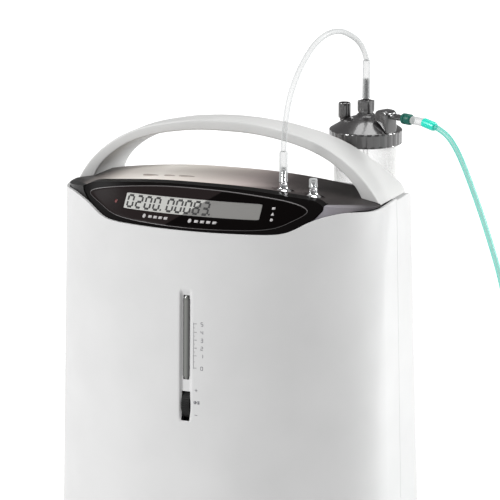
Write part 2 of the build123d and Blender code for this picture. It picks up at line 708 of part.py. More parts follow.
with BuildPart() as run_capacitor:
    with Locations((-60, YW - 78, 21.7)):
        Cylinder(18, 70, align=(Align.CENTER, Align.CENTER, Align.MIN))
    with Locations((-65, YW - 78, 91.5), (-55, YW - 78, 91.5)):
        Box(1, 6, 9, align=(Align.CENTER, Align.CENTER, Align.MIN))
keep("run_capacitor", run_capacitor)

# ---------------------------------------------------------------- rear fittings
def rear_y(z):
    """The rear face's Y at height z."""
    return YW + REAR_REACH - DRAFT * z


FILTER_Y = rear_y(FILTER_Z)
with BuildPart() as filter_cover:
    with Locations((FILTER_X, FILTER_Y - 2.4, FILTER_Z)):
        Box(99, 3.6, 75)
    with Locations(*[(FILTER_X, FILTER_Y, FILTER_Z - 28 + 8 * i) for i in range(8)]):
        Box(84, 20, 3.4, mode=Mode.SUBTRACT)
keep("filter_cover", filter_cover)

with BuildPart() as sponge_filter:
    with Locations((FILTER_X, FILTER_Y - 11, FILTER_Z)):
        Box(99.8, 12, 75.8)
keep("sponge_filter", sponge_filter)

POWER_Y = rear_y(POWER_Z)
SOCKET_Z = POWER_Z - 16.0
SWITCH_Z = POWER_Z + 18.0
with BuildPart() as power_inlet:
    with Locations((POWER_X, POWER_Y - 12, POWER_Z)):
        Box(48, 22, 66)
    with Locations((POWER_X, POWER_Y - 0.2, POWER_Z)):
        Box(54, 2.4, 72)
    with Locations((POWER_X, POWER_Y - 7, SOCKET_Z)):
        Box(24.5, 20, 17, mode=Mode.SUBTRACT)
    with Locations((POWER_X, POWER_Y - 7, SWITCH_Z)):
        Box(27, 20, 13.5, mode=Mode.SUBTRACT)
    with Locations((POWER_X - 7, POWER_Y - 9, SOCKET_Z - 1), (POWER_X + 7, POWER_Y - 9, SOCKET_Z - 1)):
        Box(2, 18, 4)
    with Locations((POWER_X, POWER_Y - 9, SOCKET_Z + 4.5)):
        Box(2, 18, 4)
keep("power_inlet", power_inlet)

with BuildPart() as power_rocker:
    with BuildSketch(Plane.XY.offset(SWITCH_Z - 6.4)):
        with BuildLine():
            Polyline(
                (POWER_X - 12.0, POWER_Y + 3.2), (POWER_X, POWER_Y + 0.4), (POWER_X + 12.0, POWER_Y + 0.6),
                (POWER_X + 10, POWER_Y - 7), (POWER_X - 10, POWER_Y - 7), (POWER_X - 12.0, POWER_Y + 3.2),
            )
        make_face()
    extrude(amount=12.8)
keep("power_rocker", power_rocker)

SCREWS = ((-154, 50), (154, 50), (-150, 220), (150, 220), (-148, 385), (60, 385))
with BuildPart() as case_screws:
    for x, z in SCREWS:
        with Locations((x, rear_y(z) - 0.4, z)):
            Cylinder(3.6, 2.2, rotation=(-90, 0, 0), align=(Align.CENTER, Align.CENTER, Align.MIN))
            Cylinder(1.6, 12, rotation=(90, 0, 0), align=(Align.CENTER, Align.CENTER, Align.MIN))
        with Locations((x, rear_y(z) + 2, z)):
            Box(4.2, 1.6, 0.9, mode=Mode.SUBTRACT)
            Box(0.9, 1.6, 4.2, mode=Mode.SUBTRACT)
keep("case_screws", case_screws)

# ---------------------------------------------------------------- humidifier bottle
BX, BY = BOTTLE
JAR_LOW = NICHE_FLOOR + 0.3
JAR_RADIUS = 35.5
JAR_TOP = 464.0
LID_LOW = 451.3
LID_RADIUS = 40.6


def turned(points, x, y):
    """Solid of revolution about the vertical line through (x, y) from (radius, height) points."""
    with BuildPart() as body:
        with BuildSketch(Plane.XZ.offset(-y)):
            with BuildLine():
                Polyline(*[(x + r, z) for r, z in points], close=True)
            make_face()
        revolve(axis=Axis((x, y, 0), (0, 0, 1)))
    return body


bottle_jar = turned(
    (
        (0, JAR_LOW), (JAR_RADIUS - 4, JAR_LOW), (JAR_RADIUS, JAR_LOW + 4), (JAR_RADIUS, JAR_TOP),
        (JAR_RADIUS - 2.2, JAR_TOP), (JAR_RADIUS - 2.2, JAR_LOW + 5), (JAR_RADIUS - 5, JAR_LOW + 2.5),
        (0, JAR_LOW + 2.5),
    ), BX, BY,
)
keep("bottle_jar", bottle_jar)

bottle_lid = turned(
    (
        (JAR_RADIUS + 0.1, LID_LOW), (LID_RADIUS, LID_LOW), (LID_RADIUS, 466.5), (LID_RADIUS - 1, 468),
        (37, 468.4), (34, 470.5), (27, 475.5), (19, 479.5), (9, 481.5), (9, 484), (4.1, 484),
        (4.1, 478), (18, 476), (26, 472), (33, 467), (34.5, JAR_TOP + 0.1), (JAR_RADIUS + 0.1, JAR_TOP + 0.1),
    ), BX, BY,
)
keep("bottle_lid", bottle_lid)

inlet_barb = turned(
    (
        (0, 470), (4.0, 470), (4.0, 499.5), (2.6, 500), (3.4, 503), (2.6, 508), (3.4, 509), (2.4, 514),
        (3.2, 515), (2.0, 522), (0, 522),
    ), BX, BY,
)
keep("inlet_barb", inlet_barb)

with BuildPart() as inlet_nut:
    with Locations((BX, BY, 484.4)):
        Cylinder(7, 13, align=(Align.CENTER, Align.CENTER, Align.MIN))
        Box(19, 4, 14.4, align=(Align.CENTER, Align.CENTER, Align.MIN))
        Cylinder(4.06, 40, mode=Mode.SUBTRACT)
keep("inlet_nut", inlet_nut)

relief_valve = turned(
    ((0, 474.2), (5.2, 474.2), (5.2, 477), (6.8, 478), (6.8, 493.5), (6, 494.5), (0, 494.5)), BX - 25, BY,
)
keep("relief_valve", relief_valve)

dip_tube = turned(
    ((0, 326), (9, 326), (9, 344), (3, 346), (3, 469.9), (0, 469.9)), BX, BY,
)
keep("dip_tube", dip_tube)

OUT_ANGLE = -26.0
NOZZLE_Z = 486.0
OUT_DIR = (math.cos(math.radians(OUT_ANGLE)), math.sin(math.radians(OUT_ANGLE)))


def out_point(d, z):
    """A point d from the bottle's axis in the direction of its outlet."""
    return (BX + d * OUT_DIR[0], BY + d * OUT_DIR[1], z)


out_plane = Plane(origin=(BX, BY, 0), x_dir=(OUT_DIR[0], OUT_DIR[1], 0), z_dir=(OUT_DIR[1], -OUT_DIR[0], 0))
with BuildPart() as outlet_elbow:
    with BuildSketch(out_plane):
        with BuildLine():
            Polyline(
                (19, 480.5), (20, 488), (25, 492), (36, 492), (40, 488), (40, 468.6), (37, 468.6),
                (34, 470.9),
                (27, 475.9), (19, 480.5),
            )
        make_face()
    extrude(amount=8.5, both=True)
    with BuildSketch(Plane(origin=out_point(38, NOZZLE_Z), z_dir=(OUT_DIR[0], OUT_DIR[1], 0))):
        Circle(3.6)
    extrude(amount=24)
keep("outlet_elbow", outlet_elbow)

# ---------------------------------------------------------------- tubing
SLEEVE_TOP = 464.0
LID_SLEEVE_TOP = 543.0
OX, OY = OUTLETS[0]
with BuildPart() as connecting_sleeves:
    with Locations((OX, OY, SLEEVE_LOW)):
        Cylinder(4.75, SLEEVE_TOP - SLEEVE_LOW, align=(Align.CENTER, Align.CENTER, Align.MIN))
        Cylinder(3.1, 16, align=(Align.CENTER, Align.CENTER, Align.MIN), mode=Mode.SUBTRACT)
    with Locations((BX, BY, 501)):
        Cylinder(4.6, LID_SLEEVE_TOP - 501, align=(Align.CENTER, Align.CENTER, Align.MIN))
        Cylinder(3.5, 22, align=(Align.CENTER, Align.CENTER, Align.MIN), mode=Mode.SUBTRACT)
keep("connecting_sleeves", connecting_sleeves)


def tube(route, radius):
    """A tube along straight runs joined by tangent arcs as large as the runs allow."""
    points = [Vector(*p) for p in route]
    runs = [b - a for a, b in zip(points, points[1:])]
    radii = []
    for a, b in zip(runs, runs[1:]):
        turn = math.radians(a.get_angle(b))
        radii.append(0.45 * min(a.length, b.length) / math.tan(turn / 2))
    with BuildPart() as run:
        with BuildLine() as path:
            FilletPolyline(*route, radius=radii)
        with BuildSketch(Plane(origin=route[0], z_dir=runs[0])):
            Circle(radius)
        sweep()
    length = sum(edge.length for edge in path.edges())
    print("tube radii", [round(r) for r in radii], "length", round(length, 1))
    print("volume ratio", round(run.part.volume / (math.pi * radius**2 * length), 4))
    return run


# the arch as (share of the way from the outlet to the bottle's axis, height)
ARCH = (
    (0, SLEEVE_TOP), (0.012, 492), (0.07, 523.5), (0.208, 554), (0.4, 577), (0.632, 583.5), (0.847, 571.5),
    (0.967, 556), (1, LID_SLEEVE_TOP),
)
ARCH_ROUTE = [(OX + (BX - OX) * share, OY + (BY - OY) * share, z) for share, z in ARCH]
connecting_tube = tube(ARCH_ROUTE, TUBE_RADIUS)
keep("connecting_tube", connecting_tube)

collar_end = out_point(104.5, 483.2)
with BuildPart() as supply_connector:
    with BuildSketch(Plane(origin=out_point(57, NOZZLE_Z), z_dir=(OUT_DIR[0], OUT_DIR[1], 0))):
        Circle(6.0)
        Circle(3.65, mode=Mode.SUBTRACT)
    extrude(amount=5.1)
    with BuildSketch(Plane(origin=out_point(62.1, NOZZLE_Z), z_dir=(OUT_DIR[0], OUT_DIR[1], 0))):
        Circle(6.0)
    extrude(amount=8)
    with BuildSketch(Plane(origin=out_point(70.1, NOZZLE_Z), z_dir=(OUT_DIR[0], OUT_DIR[1], 0))):
        Circle(4.4)
    extrude(amount=19)
    collar_dir = Vector(*collar_end) - Vector(*out_point(87, NOZZLE_Z))
    with BuildSketch(Plane(origin=out_point(87, NOZZLE_Z), z_dir=collar_dir)):
        Circle(5.0)
    extrude(amount=collar_dir.length)
keep("supply_connector", supply_connector)

CX, CY = COIL
FALL = (
    (104.5, 483.2), (118, 479.5), (132, 468), (145, 450), (158, 427), (172, 401), (187, 370), (203, 333),
    (215, 290), (222, 243), (225, 194), (225.5, 146),
)
LANDING = (
    (CX + 40, YW + 6.5, 104), (CX + 39.5, YW + 9, 70), (CX + 38, YW + 17, 42), (CX + 36.5, YW + 32, 22),
    (CX + 36, CY, 15),
)
SUPPLY_ROUTE = [out_point(d, z) for d, z in FALL] + list(LANDING)
TAIL_ROUTE = [(CX - 39, CY, 3.1), (CX - 38.5, CY - 18, 3.6), (CX - 37, CY - 36, 6.2)]
supply_run = tube(SUPPLY_ROUTE, TUBE_RADIUS)
tail_run = tube(TAIL_ROUTE, TUBE_RADIUS)
with BuildPart() as supply_tube:
    add(supply_run.part)
    add(tail_run.part)
keep("supply_tube", supply_tube)

supply_coil = turned(
    (
        (24.5, 2), (26.5, 0), (40, 0), (42, 2), (42, 15.5), (39.5, 18), (27, 18), (24.5, 15.5),
    ), CX, CY,
)
keep("supply_coil", supply_coil)

with BuildPart() as coil_tie:
    with Locations((CX, CY + COIL_RADIUS, 9)):
        Box(7, 21, 20.4)
        Box(8, 17.6, 18.2, mode=Mode.SUBTRACT)
    with Locations((CX, CY + COIL_RADIUS, 0)):
        Box(10, 40, 4, align=(Align.CENTER, Align.CENTER, Align.MAX), mode=Mode.SUBTRACT)
keep("coil_tie", coil_tie)

with BuildPart() as far_connector:
    start = Vector(*TAIL_ROUTE[-1])
    with BuildSketch(Plane(origin=start, z_dir=(0, -1, 0))):
        Circle(5.0)
    extrude(amount=14)
    with BuildSketch(Plane(origin=start - Vector(0, 14, 0), z_dir=(0, -1, 0))):
        Circle(6.0)
    extrude(amount=18)
    with BuildSketch(Plane(origin=start - Vector(0, 33, 0), z_dir=(0, 1, 0))):
        Circle(3.7)
    extrude(amount=16, mode=Mode.SUBTRACT)
keep("far_connector", far_connector)
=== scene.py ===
import json
import math

import bmesh
import bpy
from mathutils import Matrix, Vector


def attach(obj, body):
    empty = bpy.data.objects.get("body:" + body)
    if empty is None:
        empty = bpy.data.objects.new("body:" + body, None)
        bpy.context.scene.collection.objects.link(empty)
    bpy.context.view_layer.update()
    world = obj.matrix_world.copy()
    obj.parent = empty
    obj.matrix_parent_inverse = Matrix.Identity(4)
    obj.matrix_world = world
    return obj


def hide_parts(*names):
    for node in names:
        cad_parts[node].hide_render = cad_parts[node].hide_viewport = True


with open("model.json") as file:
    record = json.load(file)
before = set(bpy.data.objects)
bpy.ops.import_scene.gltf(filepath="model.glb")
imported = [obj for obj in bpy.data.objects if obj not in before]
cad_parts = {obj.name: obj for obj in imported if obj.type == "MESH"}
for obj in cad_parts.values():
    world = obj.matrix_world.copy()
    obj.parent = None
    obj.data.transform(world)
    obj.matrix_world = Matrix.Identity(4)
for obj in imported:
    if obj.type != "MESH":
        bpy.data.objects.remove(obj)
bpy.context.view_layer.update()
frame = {"nodes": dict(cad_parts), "record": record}
NODES = frame["nodes"]
SCENE = bpy.context.scene
COLLECTION = SCENE.collection
MM = 0.001

# ---------------------------------------------------------------- places shared with the CAD frame (mm)
YW = -13.0  # the widest line of the casing's plan
HALF_WIDTH = 195.0
FRONT_REACH = 120.0
DRAFT = 0.03
BOTTLE = (126.0, YW + 105.0)
OUTLETS = ((80.8, YW - 33.0), (114.5, YW - 33.0))
OUTLET_DROP = (0.0, 3.4)
RECESS_FLOOR = 420.6
STRIP_LOW, STRIP_HIGH = 177.6, 325.5
WHEEL_SLOT = (180.0, 212.0)
SIGHT = (225.0, 317.5)
LCD_X, LCD_Z = -4.0, 408.0
TUBE_RADIUS = 3.0

# ---------------------------------------------------------------- camera
AZIMUTH = math.radians(21.4)
ELEVATION = math.radians(14.2)
DISTANCE = 2.5
AIM = Vector((0.0298, YW * MM, 0.344))
LENS = 164.9


def make_camera():
    """Camera at the photograph's angle: no roll, no shift."""
    back = Vector((
        math.sin(AZIMUTH) * math.cos(ELEVATION),
        -math.cos(AZIMUTH) * math.cos(ELEVATION),
        math.sin(ELEVATION),
    ))
    data = bpy.data.cameras.new("camera")
    data.lens = LENS
    data.sensor_width = 36.0
    data.clip_end = 60
    camera = bpy.data.objects.new("camera", data)
    camera.location = AIM + back * DISTANCE
    camera.rotation_euler = (-back).to_track_quat("-Z", "Y").to_euler()
    COLLECTION.objects.link(camera)
    SCENE.camera = camera


make_camera()


# ---------------------------------------------------------------- node material helpers
def new_material(name):
    material = bpy.data.materials.new(name)
    material.use_nodes = True
    tree = material.node_tree
    return material, tree, tree.nodes["Principled BSDF"]


def noise(tree, scale, detail=3.0):
    """A noise texture in object space."""
    place = tree.nodes.new("ShaderNodeTexCoord")
    node = tree.nodes.new("ShaderNodeTexNoise")
    node.inputs["Scale"].default_value = scale
    node.inputs["Detail"].default_value = detail
    tree.links.new(place.outputs["Object"], node.inputs["Vector"])
    return node.outputs["Fac"]


def object_axes(tree):
    """The X, Y and Z outputs of the point being shaded, in object space."""
    place = tree.nodes.new("ShaderNodeTexCoord")
    split = tree.nodes.new("ShaderNodeSeparateXYZ")
    tree.links.new(place.outputs["Object"], split.inputs["Vector"])
    return split.outputs


def spread(tree, source, low, high, start=0.0, end=1.0):
    """Map start..end of a source onto low..high."""
    node = tree.nodes.new("ShaderNodeMapRange")
    node.inputs["From Min"].default_value = start
    node.inputs["From Max"].default_value = end
    node.inputs["To Min"].default_value = low
    node.inputs["To Max"].default_value = high
    tree.links.new(source, node.inputs["Value"])
    return node.outputs["Result"]


def bump(tree, shader, source, depth, strength=1.0):
    node = tree.nodes.new("ShaderNodeBump")
    node.inputs["Strength"].default_value = strength
    node.inputs["Distance"].default_value = depth
    tree.links.new(source, node.inputs["Height"])
    tree.links.new(node.outputs["Normal"], shader.inputs["Normal"])


def ramp(tree, source, stops):
    """A colour ramp with (position, colour) stops."""
    node = tree.nodes.new("ShaderNodeValToRGB")
    elements = node.color_ramp.elements
    for place, color in stops[2:]:
        elements.new(place)
    for element, (place, color) in zip(elements, sorted(stops)):
        element.position = place
        element.color = (*color, 1)
    tree.links.new(source, node.inputs["Fac"])
    return node.outputs["Color"]


def shade(color, factor):
    return [min(1.0, c * factor) for c in color]


TONE_STEP = 0.03  # how far a moulded surface's colour strays


def moulded(name, color, rough=0.4, grain=900, depth=0.00004, coat=0.0, metal=0.0, shine=0.5):
    """Moulded or painted surface: fine texture, faint colour and gloss variation."""
    material, tree, shader = new_material(name)
    stops = [(0.3, shade(color, 1 - TONE_STEP)), (0.7, shade(color, 1 + TONE_STEP))]
    tree.links.new(ramp(tree, noise(tree, 14, 4), stops), shader.inputs["Base Color"])
    tree.links.new(spread(tree, noise(tree, 40), rough - 0.05, rough + 0.06), shader.inputs["Roughness"])
    bump(tree, shader, noise(tree, grain, 2), depth, 0.35)
    shader.inputs["Metallic"].default_value = metal
    shader.inputs["Specular IOR Level"].default_value = shine
    shader.inputs["Coat Weight"].default_value = coat
    shader.inputs["Coat Roughness"].default_value = 0.08
    return material


def clear(name, color, low, high, rough=0.08, blend=0.35, shine=0.5):
    """Thin clear plastic: see-through face on, denser towards its edges."""
    material, tree, shader = new_material(name)
    shader.inputs["Base Color"].default_value = (*color, 1)
    tree.links.new(spread(tree, noise(tree, 8), rough, rough + 0.05), shader.inputs["Roughness"])
    shader.inputs["Specular IOR Level"].default_value = shine
    facing = tree.nodes.new("ShaderNodeLayerWeight")
    facing.inputs["Blend"].default_value = blend
    tree.links.new(spread(tree, facing.outputs["Facing"], low, high), shader.inputs["Alpha"])
    bump(tree, shader, noise(tree, 30, 2), 0.00002, 0.2)
    return material


def brushed(name, color, rough):
    """Machined or plated metal with fine streaks."""
    material, tree, shader = new_material(name)
    place = tree.nodes.new("ShaderNodeTexCoord")
    stretch = tree.nodes.new("ShaderNodeMapping")
    stretch.inputs["Scale"].default_value = (60, 60, 900)
    streak = tree.nodes.new("ShaderNodeTexNoise")
    streak.inputs["Scale"].default_value = 3
    tree.links.new(place.outputs["Object"], stretch.inputs["Vector"])
    tree.links.new(stretch.outputs["Vector"], streak.inputs["Vector"])
    stops = [(0.3, shade(color, 0.94)), (0.7, shade(color, 1.06))]
    tree.links.new(ramp(tree, noise(tree, 30, 4), stops), shader.inputs["Base Color"])
    shader.inputs["Metallic"].default_value = 1.0
    tree.links.new(spread(tree, streak.outputs["Fac"], rough - 0.08, rough + 0.12),
                   shader.inputs["Roughness"])
    bump(tree, shader, streak.outputs["Fac"], 0.00003, 0.3)
    return material


def arithmetic(tree, operation, *values):
    """A math node; each value is a number or another node's output."""
    node = tree.nodes.new("ShaderNodeMath")
    node.operation = operation
    for socket, value in zip(node.inputs, values):
        if isinstance(value, (int, float)):
            socket.default_value = value
        else:
            tree.links.new(value, socket)
    return node.outputs[0]


CREASE_Y = YW - 58.0  # the deck's crease runs straight across here
CREASE_TURN, CREASE_SLOPE = 138.0, 1.2  # and turns backwards beyond this x, at this slope


def deck_paint_with_painted_reflection():
    """Taupe metallic paint with painted light: a painted reflection across the top, palest left of the
    middle and near black at both ends; the deck's sloped front edge is painted dark as shade, with a
    painted highlight band near its right end.
    """
    material, tree, shader = new_material("deck_paint_with_painted_reflection")
    axes = object_axes(tree)
    across = spread(tree, axes["X"], 0, 1, -0.185, 0.185)
    # painted reflection: the top runs from near black at both ends to palest left of the middle
    top = ramp(tree, across, [
        (0.0, (0.012, 0.010, 0.010)), (1.0, (0.012, 0.010, 0.010)), (0.09, (0.02, 0.017, 0.016)),
        (0.13, (0.17, 0.15, 0.14)), (0.20, (0.62, 0.58, 0.54)), (0.30, (0.82, 0.78, 0.73)),
        (0.40, (0.70, 0.65, 0.60)), (0.54, (0.53, 0.47, 0.44)), (0.60, (0.42, 0.36, 0.345)),
        (0.70, (0.085, 0.07, 0.068)), (0.80, (0.032, 0.027, 0.026)),
    ])
    # painted shade on the sloped front edge, near black, with a painted highlight band towards its right
    # end
    front = ramp(tree, across, [
        (0.0, (0.004, 0.004, 0.004)), (1.0, (0.006, 0.005, 0.006)), (0.5, (0.012, 0.010, 0.010)),
        (0.80, (0.05, 0.045, 0.05)), (0.875, (0.22, 0.21, 0.23)), (0.93, (0.15, 0.14, 0.15)),
        (0.965, (0.03, 0.026, 0.03)),
    ])
    mix = tree.nodes.new("ShaderNodeMix")
    mix.data_type = "RGBA"
    outward = arithmetic(tree, "ABSOLUTE", axes["X"])
    bend_start = (CREASE_Y - CREASE_SLOPE * CREASE_TURN) * MM
    bend = arithmetic(tree, "MULTIPLY_ADD", outward, CREASE_SLOPE, bend_start)
    crease = arithmetic(tree, "MAXIMUM", bend, CREASE_Y * MM)
    behind = arithmetic(tree, "SUBTRACT", axes["Y"], crease)
    tree.links.new(spread(tree, behind, 1, 0, -0.001, 0.001), mix.inputs["Factor"])
    tree.links.new(top, mix.inputs["A"])
    tree.links.new(front, mix.inputs["B"])
    tree.links.new(mix.outputs["Result"], shader.inputs["Base Color"])
    shader.inputs["Metallic"].default_value = 0.25
    shader.inputs["Specular IOR Level"].default_value = 0.25
    tree.links.new(spread(tree, noise(tree, 50), 0.36, 0.46), shader.inputs["Roughness"])
    bump(tree, shader, noise(tree, 1400, 2), 0.00003, 0.3)
    return material


REFLECTION_EDGE_POINT, REFLECTION_EDGE_SLOPE = (12.0, 415.0), 1.6  # a point (x, z) on the slanting edge of the painted reflection, and its lean
REFLECTION_EDGE_BLUR = 0.0006


def diagonal_reflection(name, left, right, rough, shine):
    """Gloss plastic with a painted reflection: its tint is lighter above and left of a slanting line in the
    x-z plane.
    """
    material, tree, shader = new_material(name)
    axes = object_axes(tree)
    lean = arithmetic(tree, "MULTIPLY_ADD", axes["Z"], -REFLECTION_EDGE_SLOPE, axes["X"])
    edge = (REFLECTION_EDGE_POINT[0] - REFLECTION_EDGE_SLOPE * REFLECTION_EDGE_POINT[1]) * MM
    share = spread(tree, lean, 0, 1, edge - REFLECTION_EDGE_BLUR, edge + REFLECTION_EDGE_BLUR)
    tree.links.new(ramp(tree, share, [(0.0, left), (1.0, right)]), shader.inputs["Base Color"])
    tree.links.new(spread(tree, noise(tree, 60), rough, rough + 0.04), shader.inputs["Roughness"])
    bump(tree, shader, noise(tree, 150, 2), 0.00001, 0.2)
    shader.inputs["Specular IOR Level"].default_value = shine
    return material


def smoky_with_painted_shade():
    """Smoked glass of the sight tube with painted shade: darker towards its two long edges."""
    material, tree, shader = new_material("sight_smoke_painted_shade")
    axes = object_axes(tree)
    outward = spread(tree, arithmetic(tree, "ABSOLUTE", axes["X"]), 0, 1, 0, 0.0039)
    stops = [
        (0.0, (0.13, 0.133, 0.125)), (1.0, (0.03, 0.03, 0.03)), (0.4, (0.10, 0.103, 0.096)),
        (0.75, (0.05, 0.05, 0.05)),
    ]
    tree.links.new(ramp(tree, outward, stops), shader.inputs["Base Color"])
    tree.links.new(spread(tree, noise(tree, 60), 0.14, 0.2), shader.inputs["Roughness"])
    bump(tree, shader, noise(tree, 200, 2), 0.00001, 0.2)
    return material


WHITE = moulded("white_moulded", (0.455, 0.455, 0.455), 0.45, shine=0.3)
HANDLE_WHITE = moulded("handle_moulded", (0.45, 0.45, 0.445), 0.45, shine=0.3)
# the deck's colour holds a painted reflection and painted shade
TAUPE_PAINTED_REFLECTION = deck_paint_with_painted_reflection()
GLOSS_BLACK = moulded("console_black", (0.004, 0.0035, 0.0035), 0.3, grain=200, depth=0.00001, shine=0.02)
# the window and the display glass carry a painted reflection, lighter towards the upper left
LENS_BLACK_PAINTED_REFLECTION = diagonal_reflection("lens_black_painted_reflection", (0.013, 0.010, 0.010), (0.0025, 0.002, 0.002), 0.25, 0.015)
LCD_PAINTED_REFLECTION = diagonal_reflection("lcd_grey_painted_reflection", (0.36, 0.36, 0.345), (0.16, 0.158, 0.152), 0.3, 0.2)
TRIM_GREY = moulded("trim_grey", (0.075, 0.07, 0.07), 0.3, grain=300, depth=0.00001)
INK = moulded("ink_dark", (0.012, 0.012, 0.012), 0.5, grain=1500, depth=0.00001)
PRINT_GREY = moulded("print_grey", (0.17, 0.17, 0.18), 0.5, grain=1500, depth=0.00001)
PRINT_PALE = moulded("print_pale", (0.33, 0.32, 0.32), 0.5, grain=1500, depth=0.00001)
RED_LAMP = moulded("red_lamp", (0.10, 0.012, 0.012), 0.25, coat=0.5)
# the sight tube's darker long edges are painted shade
SMOKE_PAINTED_SHADE = smoky_with_painted_shade()
LID_GREY = moulded("lid_grey", (0.019, 0.0175, 0.018), 0.3, coat=1.0, shine=0.8)
DARK = moulded("dark_moulded", (0.006, 0.006, 0.006), 0.5, depth=0.00008, shine=0.15)
RUBBER = moulded("rubber", (0.012, 0.012, 0.012), 0.75, depth=0.0001)
MOTIF = moulded("motif_bronze", (0.40, 0.35, 0.32), 0.3, metal=0.4)
BOARD = moulded("circuit_board", (0.01, 0.09, 0.04), 0.4)
PAINTED = moulded("powder_coat", (0.12, 0.13, 0.15), 0.55, grain=500, depth=0.0001)
SPONGE = moulded("foam", (0.03, 0.03, 0.033), 0.95, grain=300, depth=0.0015)
SILICONE = moulded("silicone", (0.5, 0.5, 0.48), 0.45)
ALLOY = brushed("cast_alloy", (0.55, 0.55, 0.57), 0.42)
STEEL = brushed("steel", (0.6, 0.6, 0.6), 0.3)
CHROME = brushed("chrome", (0.85, 0.85, 0.86), 0.1)
BRASS = brushed("brass", (0.65, 0.48, 0.2), 0.3)
CLEAR = clear("clear_plastic", (0.60, 0.60, 0.59), 0.07, 0.80, 0.1, 0.4)
CLEAR_TUBE = clear("clear_tube", (0.42, 0.43, 0.43), 0.20, 0.98, 0.3, 0.55, 0.25)
GREEN = clear("green_tube", (0.05, 0.44, 0.36), 0.5, 1.0, 0.25, 0.5, 0.3)
CYAN = moulded("cyan_collar", (0.01, 0.50, 0.38), 0.3, grain=300, depth=0.00002, coat=0.1, shine=0.3)
SWIVEL_GREEN = moulded("swivel_green", (0.010, 0.085, 0.065), 0.35, grain=300, depth=0.00002, shine=0.2)

MATERIALS = {
    "white_plastic": WHITE, "handle_plastic": HANDLE_WHITE, "deck_taupe": TAUPE_PAINTED_REFLECTION,
    "console_black": GLOSS_BLACK,
    "lcd_glass": LCD_PAINTED_REFLECTION, "dark_plastic": DARK, "lid_grey": LID_GREY, "clear_plastic": CLEAR,
    "clear_tube": CLEAR_TUBE,
    "green_tube": GREEN, "chrome_fitting": CHROME, "rubber_black": RUBBER, "steel": STEEL,
    "cast_alloy": ALLOY,
    "painted_steel": PAINTED, "circuit_board": BOARD, "sponge": SPONGE, "brass_fitting": BRASS,
    "silicone": SILICONE,
}

SLOTS = {entry["node"]: entry["material_slot"] for entry in frame["record"]["subparts"]}
for node, obj in NODES.items():
    obj.data.materials.clear()
    obj.data.materials.append(MATERIALS[SLOTS[node]])


# ---------------------------------------------------------------- mesh helpers
def raw_mesh(name, points, faces):
    """A mesh from points in mm, with its faces as they are given."""
    mesh = bpy.data.meshes.new(name)
    mesh.from_pydata([[v * MM for v in point] for point in points], [], faces)
    return mesh


def mesh_of(name, points, faces):
    """A closed mesh from points in mm, with its faces turned outwards."""
    mesh = raw_mesh(name, points, faces)
    work = bmesh.new()
    work.from_mesh(mesh)
    bmesh.ops.remove_doubles(work, verts=work.verts, dist=1e-6)
    bmesh.ops.recalc_face_normals(work, faces=work.faces)
    work.to_mesh(mesh)
    work.free()
    return mesh


def finished(name, mesh, material, body, nodes=(), sharp=35, bevel=0.0, solid=0.0):
    """Link a mesh as a piece that rides on a body and stands for CAD nodes."""
    obj = bpy.data.objects.new(name, mesh)
    COLLECTION.objects.link(obj)
    mesh.materials.append(material)
    mesh.shade_smooth()
    if solid:
        thick = obj.modifiers.new("thickness", "SOLIDIFY")
        thick.thickness = solid * MM
        thick.offset = -1
    if bevel:
        edge = obj.modifiers.new("edges", "BEVEL")
        edge.width = bevel * MM
        edge.segments = 3
        edge.angle_limit = math.radians(sharp)
        obj.modifiers.new("normals", "WEIGHTED_NORMAL")
    else:
        mesh.set_sharp_from_angle(angle=math.radians(sharp))
    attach(obj, body)
    for node in nodes:
        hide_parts(node)
    return obj


def ring_faces(count, rings, caps=True, loop=False):
    """Quads between successive rings of count points; loop joins the last ring to the first."""
    faces = []
    for i in range(rings if loop else rings - 1):
        for j in range(count):
            a, b = i * count + j, i * count + (j + 1) % count
            shift = ((i + 1) % rings - i) * count
            faces.append((a, b, b + shift, a + shift))
    if caps and not loop:
        faces += [tuple(range(count)), tuple(range((rings - 1) * count, rings * count))]
    return faces


def lofted(name, rings, caps=True, loop=False):
    points = [point for ring in rings for point in ring]
    return mesh_of(name, points, ring_faces(len(rings[0]), len(rings), caps=caps, loop=loop))


def lathe(name, profile, centre, steps=72, hollow=False, shape=None):
    """Solid of revolution from (radius, height) points; hollow profiles are closed loops."""
    rings = []
    for radius, height in profile:
        ring = []
        for i in range(steps):
            angle = 2 * math.pi * i / steps
            r = shape(radius, height, angle) if shape else radius
            ring.append((centre[0] + r * math.cos(angle), centre[1] + r * math.sin(angle), height))
        rings.append(ring)
    return lofted(name, rings, loop=hollow)


def along(name, profile, start, axis, steps=40):
    """Solid of revolution about a line: (distance, radius) points from start in direction axis."""
    axis = Vector(axis).normalized()
    side = axis.cross(Vector((0, 0, 1)) if abs(axis.z) < 0.9 else Vector((1, 0, 0))).normalized()
    up = axis.cross(side)
    rings = []
    for distance, radius in profile:
        centre = Vector(start) + axis * distance
        ring = []
        for i in range(steps):
            angle = 2 * math.pi * i / steps
            ring.append(tuple(centre + side * radius * math.cos(angle) + up * radius * math.sin(angle)))
        rings.append(ring)
    return lofted(name, rings)


def curve_through(points, steps=10, closed=False):
    """Dense points of a Catmull-Rom curve through 2-D points."""
    count = len(points)
    dense = []
    for i in range(count if closed else count - 1):
        quad = []
        for k in (i - 1, i, i + 1, i + 2):
            quad.append(points[k % count] if closed else points[min(max(k, 0), count - 1)])
        for s in range(steps):
            t = s / steps
            weights = (
                -0.5 * t + t * t - 0.5 * t**3, 1 - 2.5 * t * t + 1.5 * t**3,
                0.5 * t + 2 * t * t - 1.5 * t**3, -0.5 * t * t + 0.5 * t**3,
            )
            dense.append(tuple(sum(w * p[axis] for w, p in zip(weights, quad)) for axis in (0, 1)))
    if not closed:
        dense.append(tuple(points[-1]))
    return dense


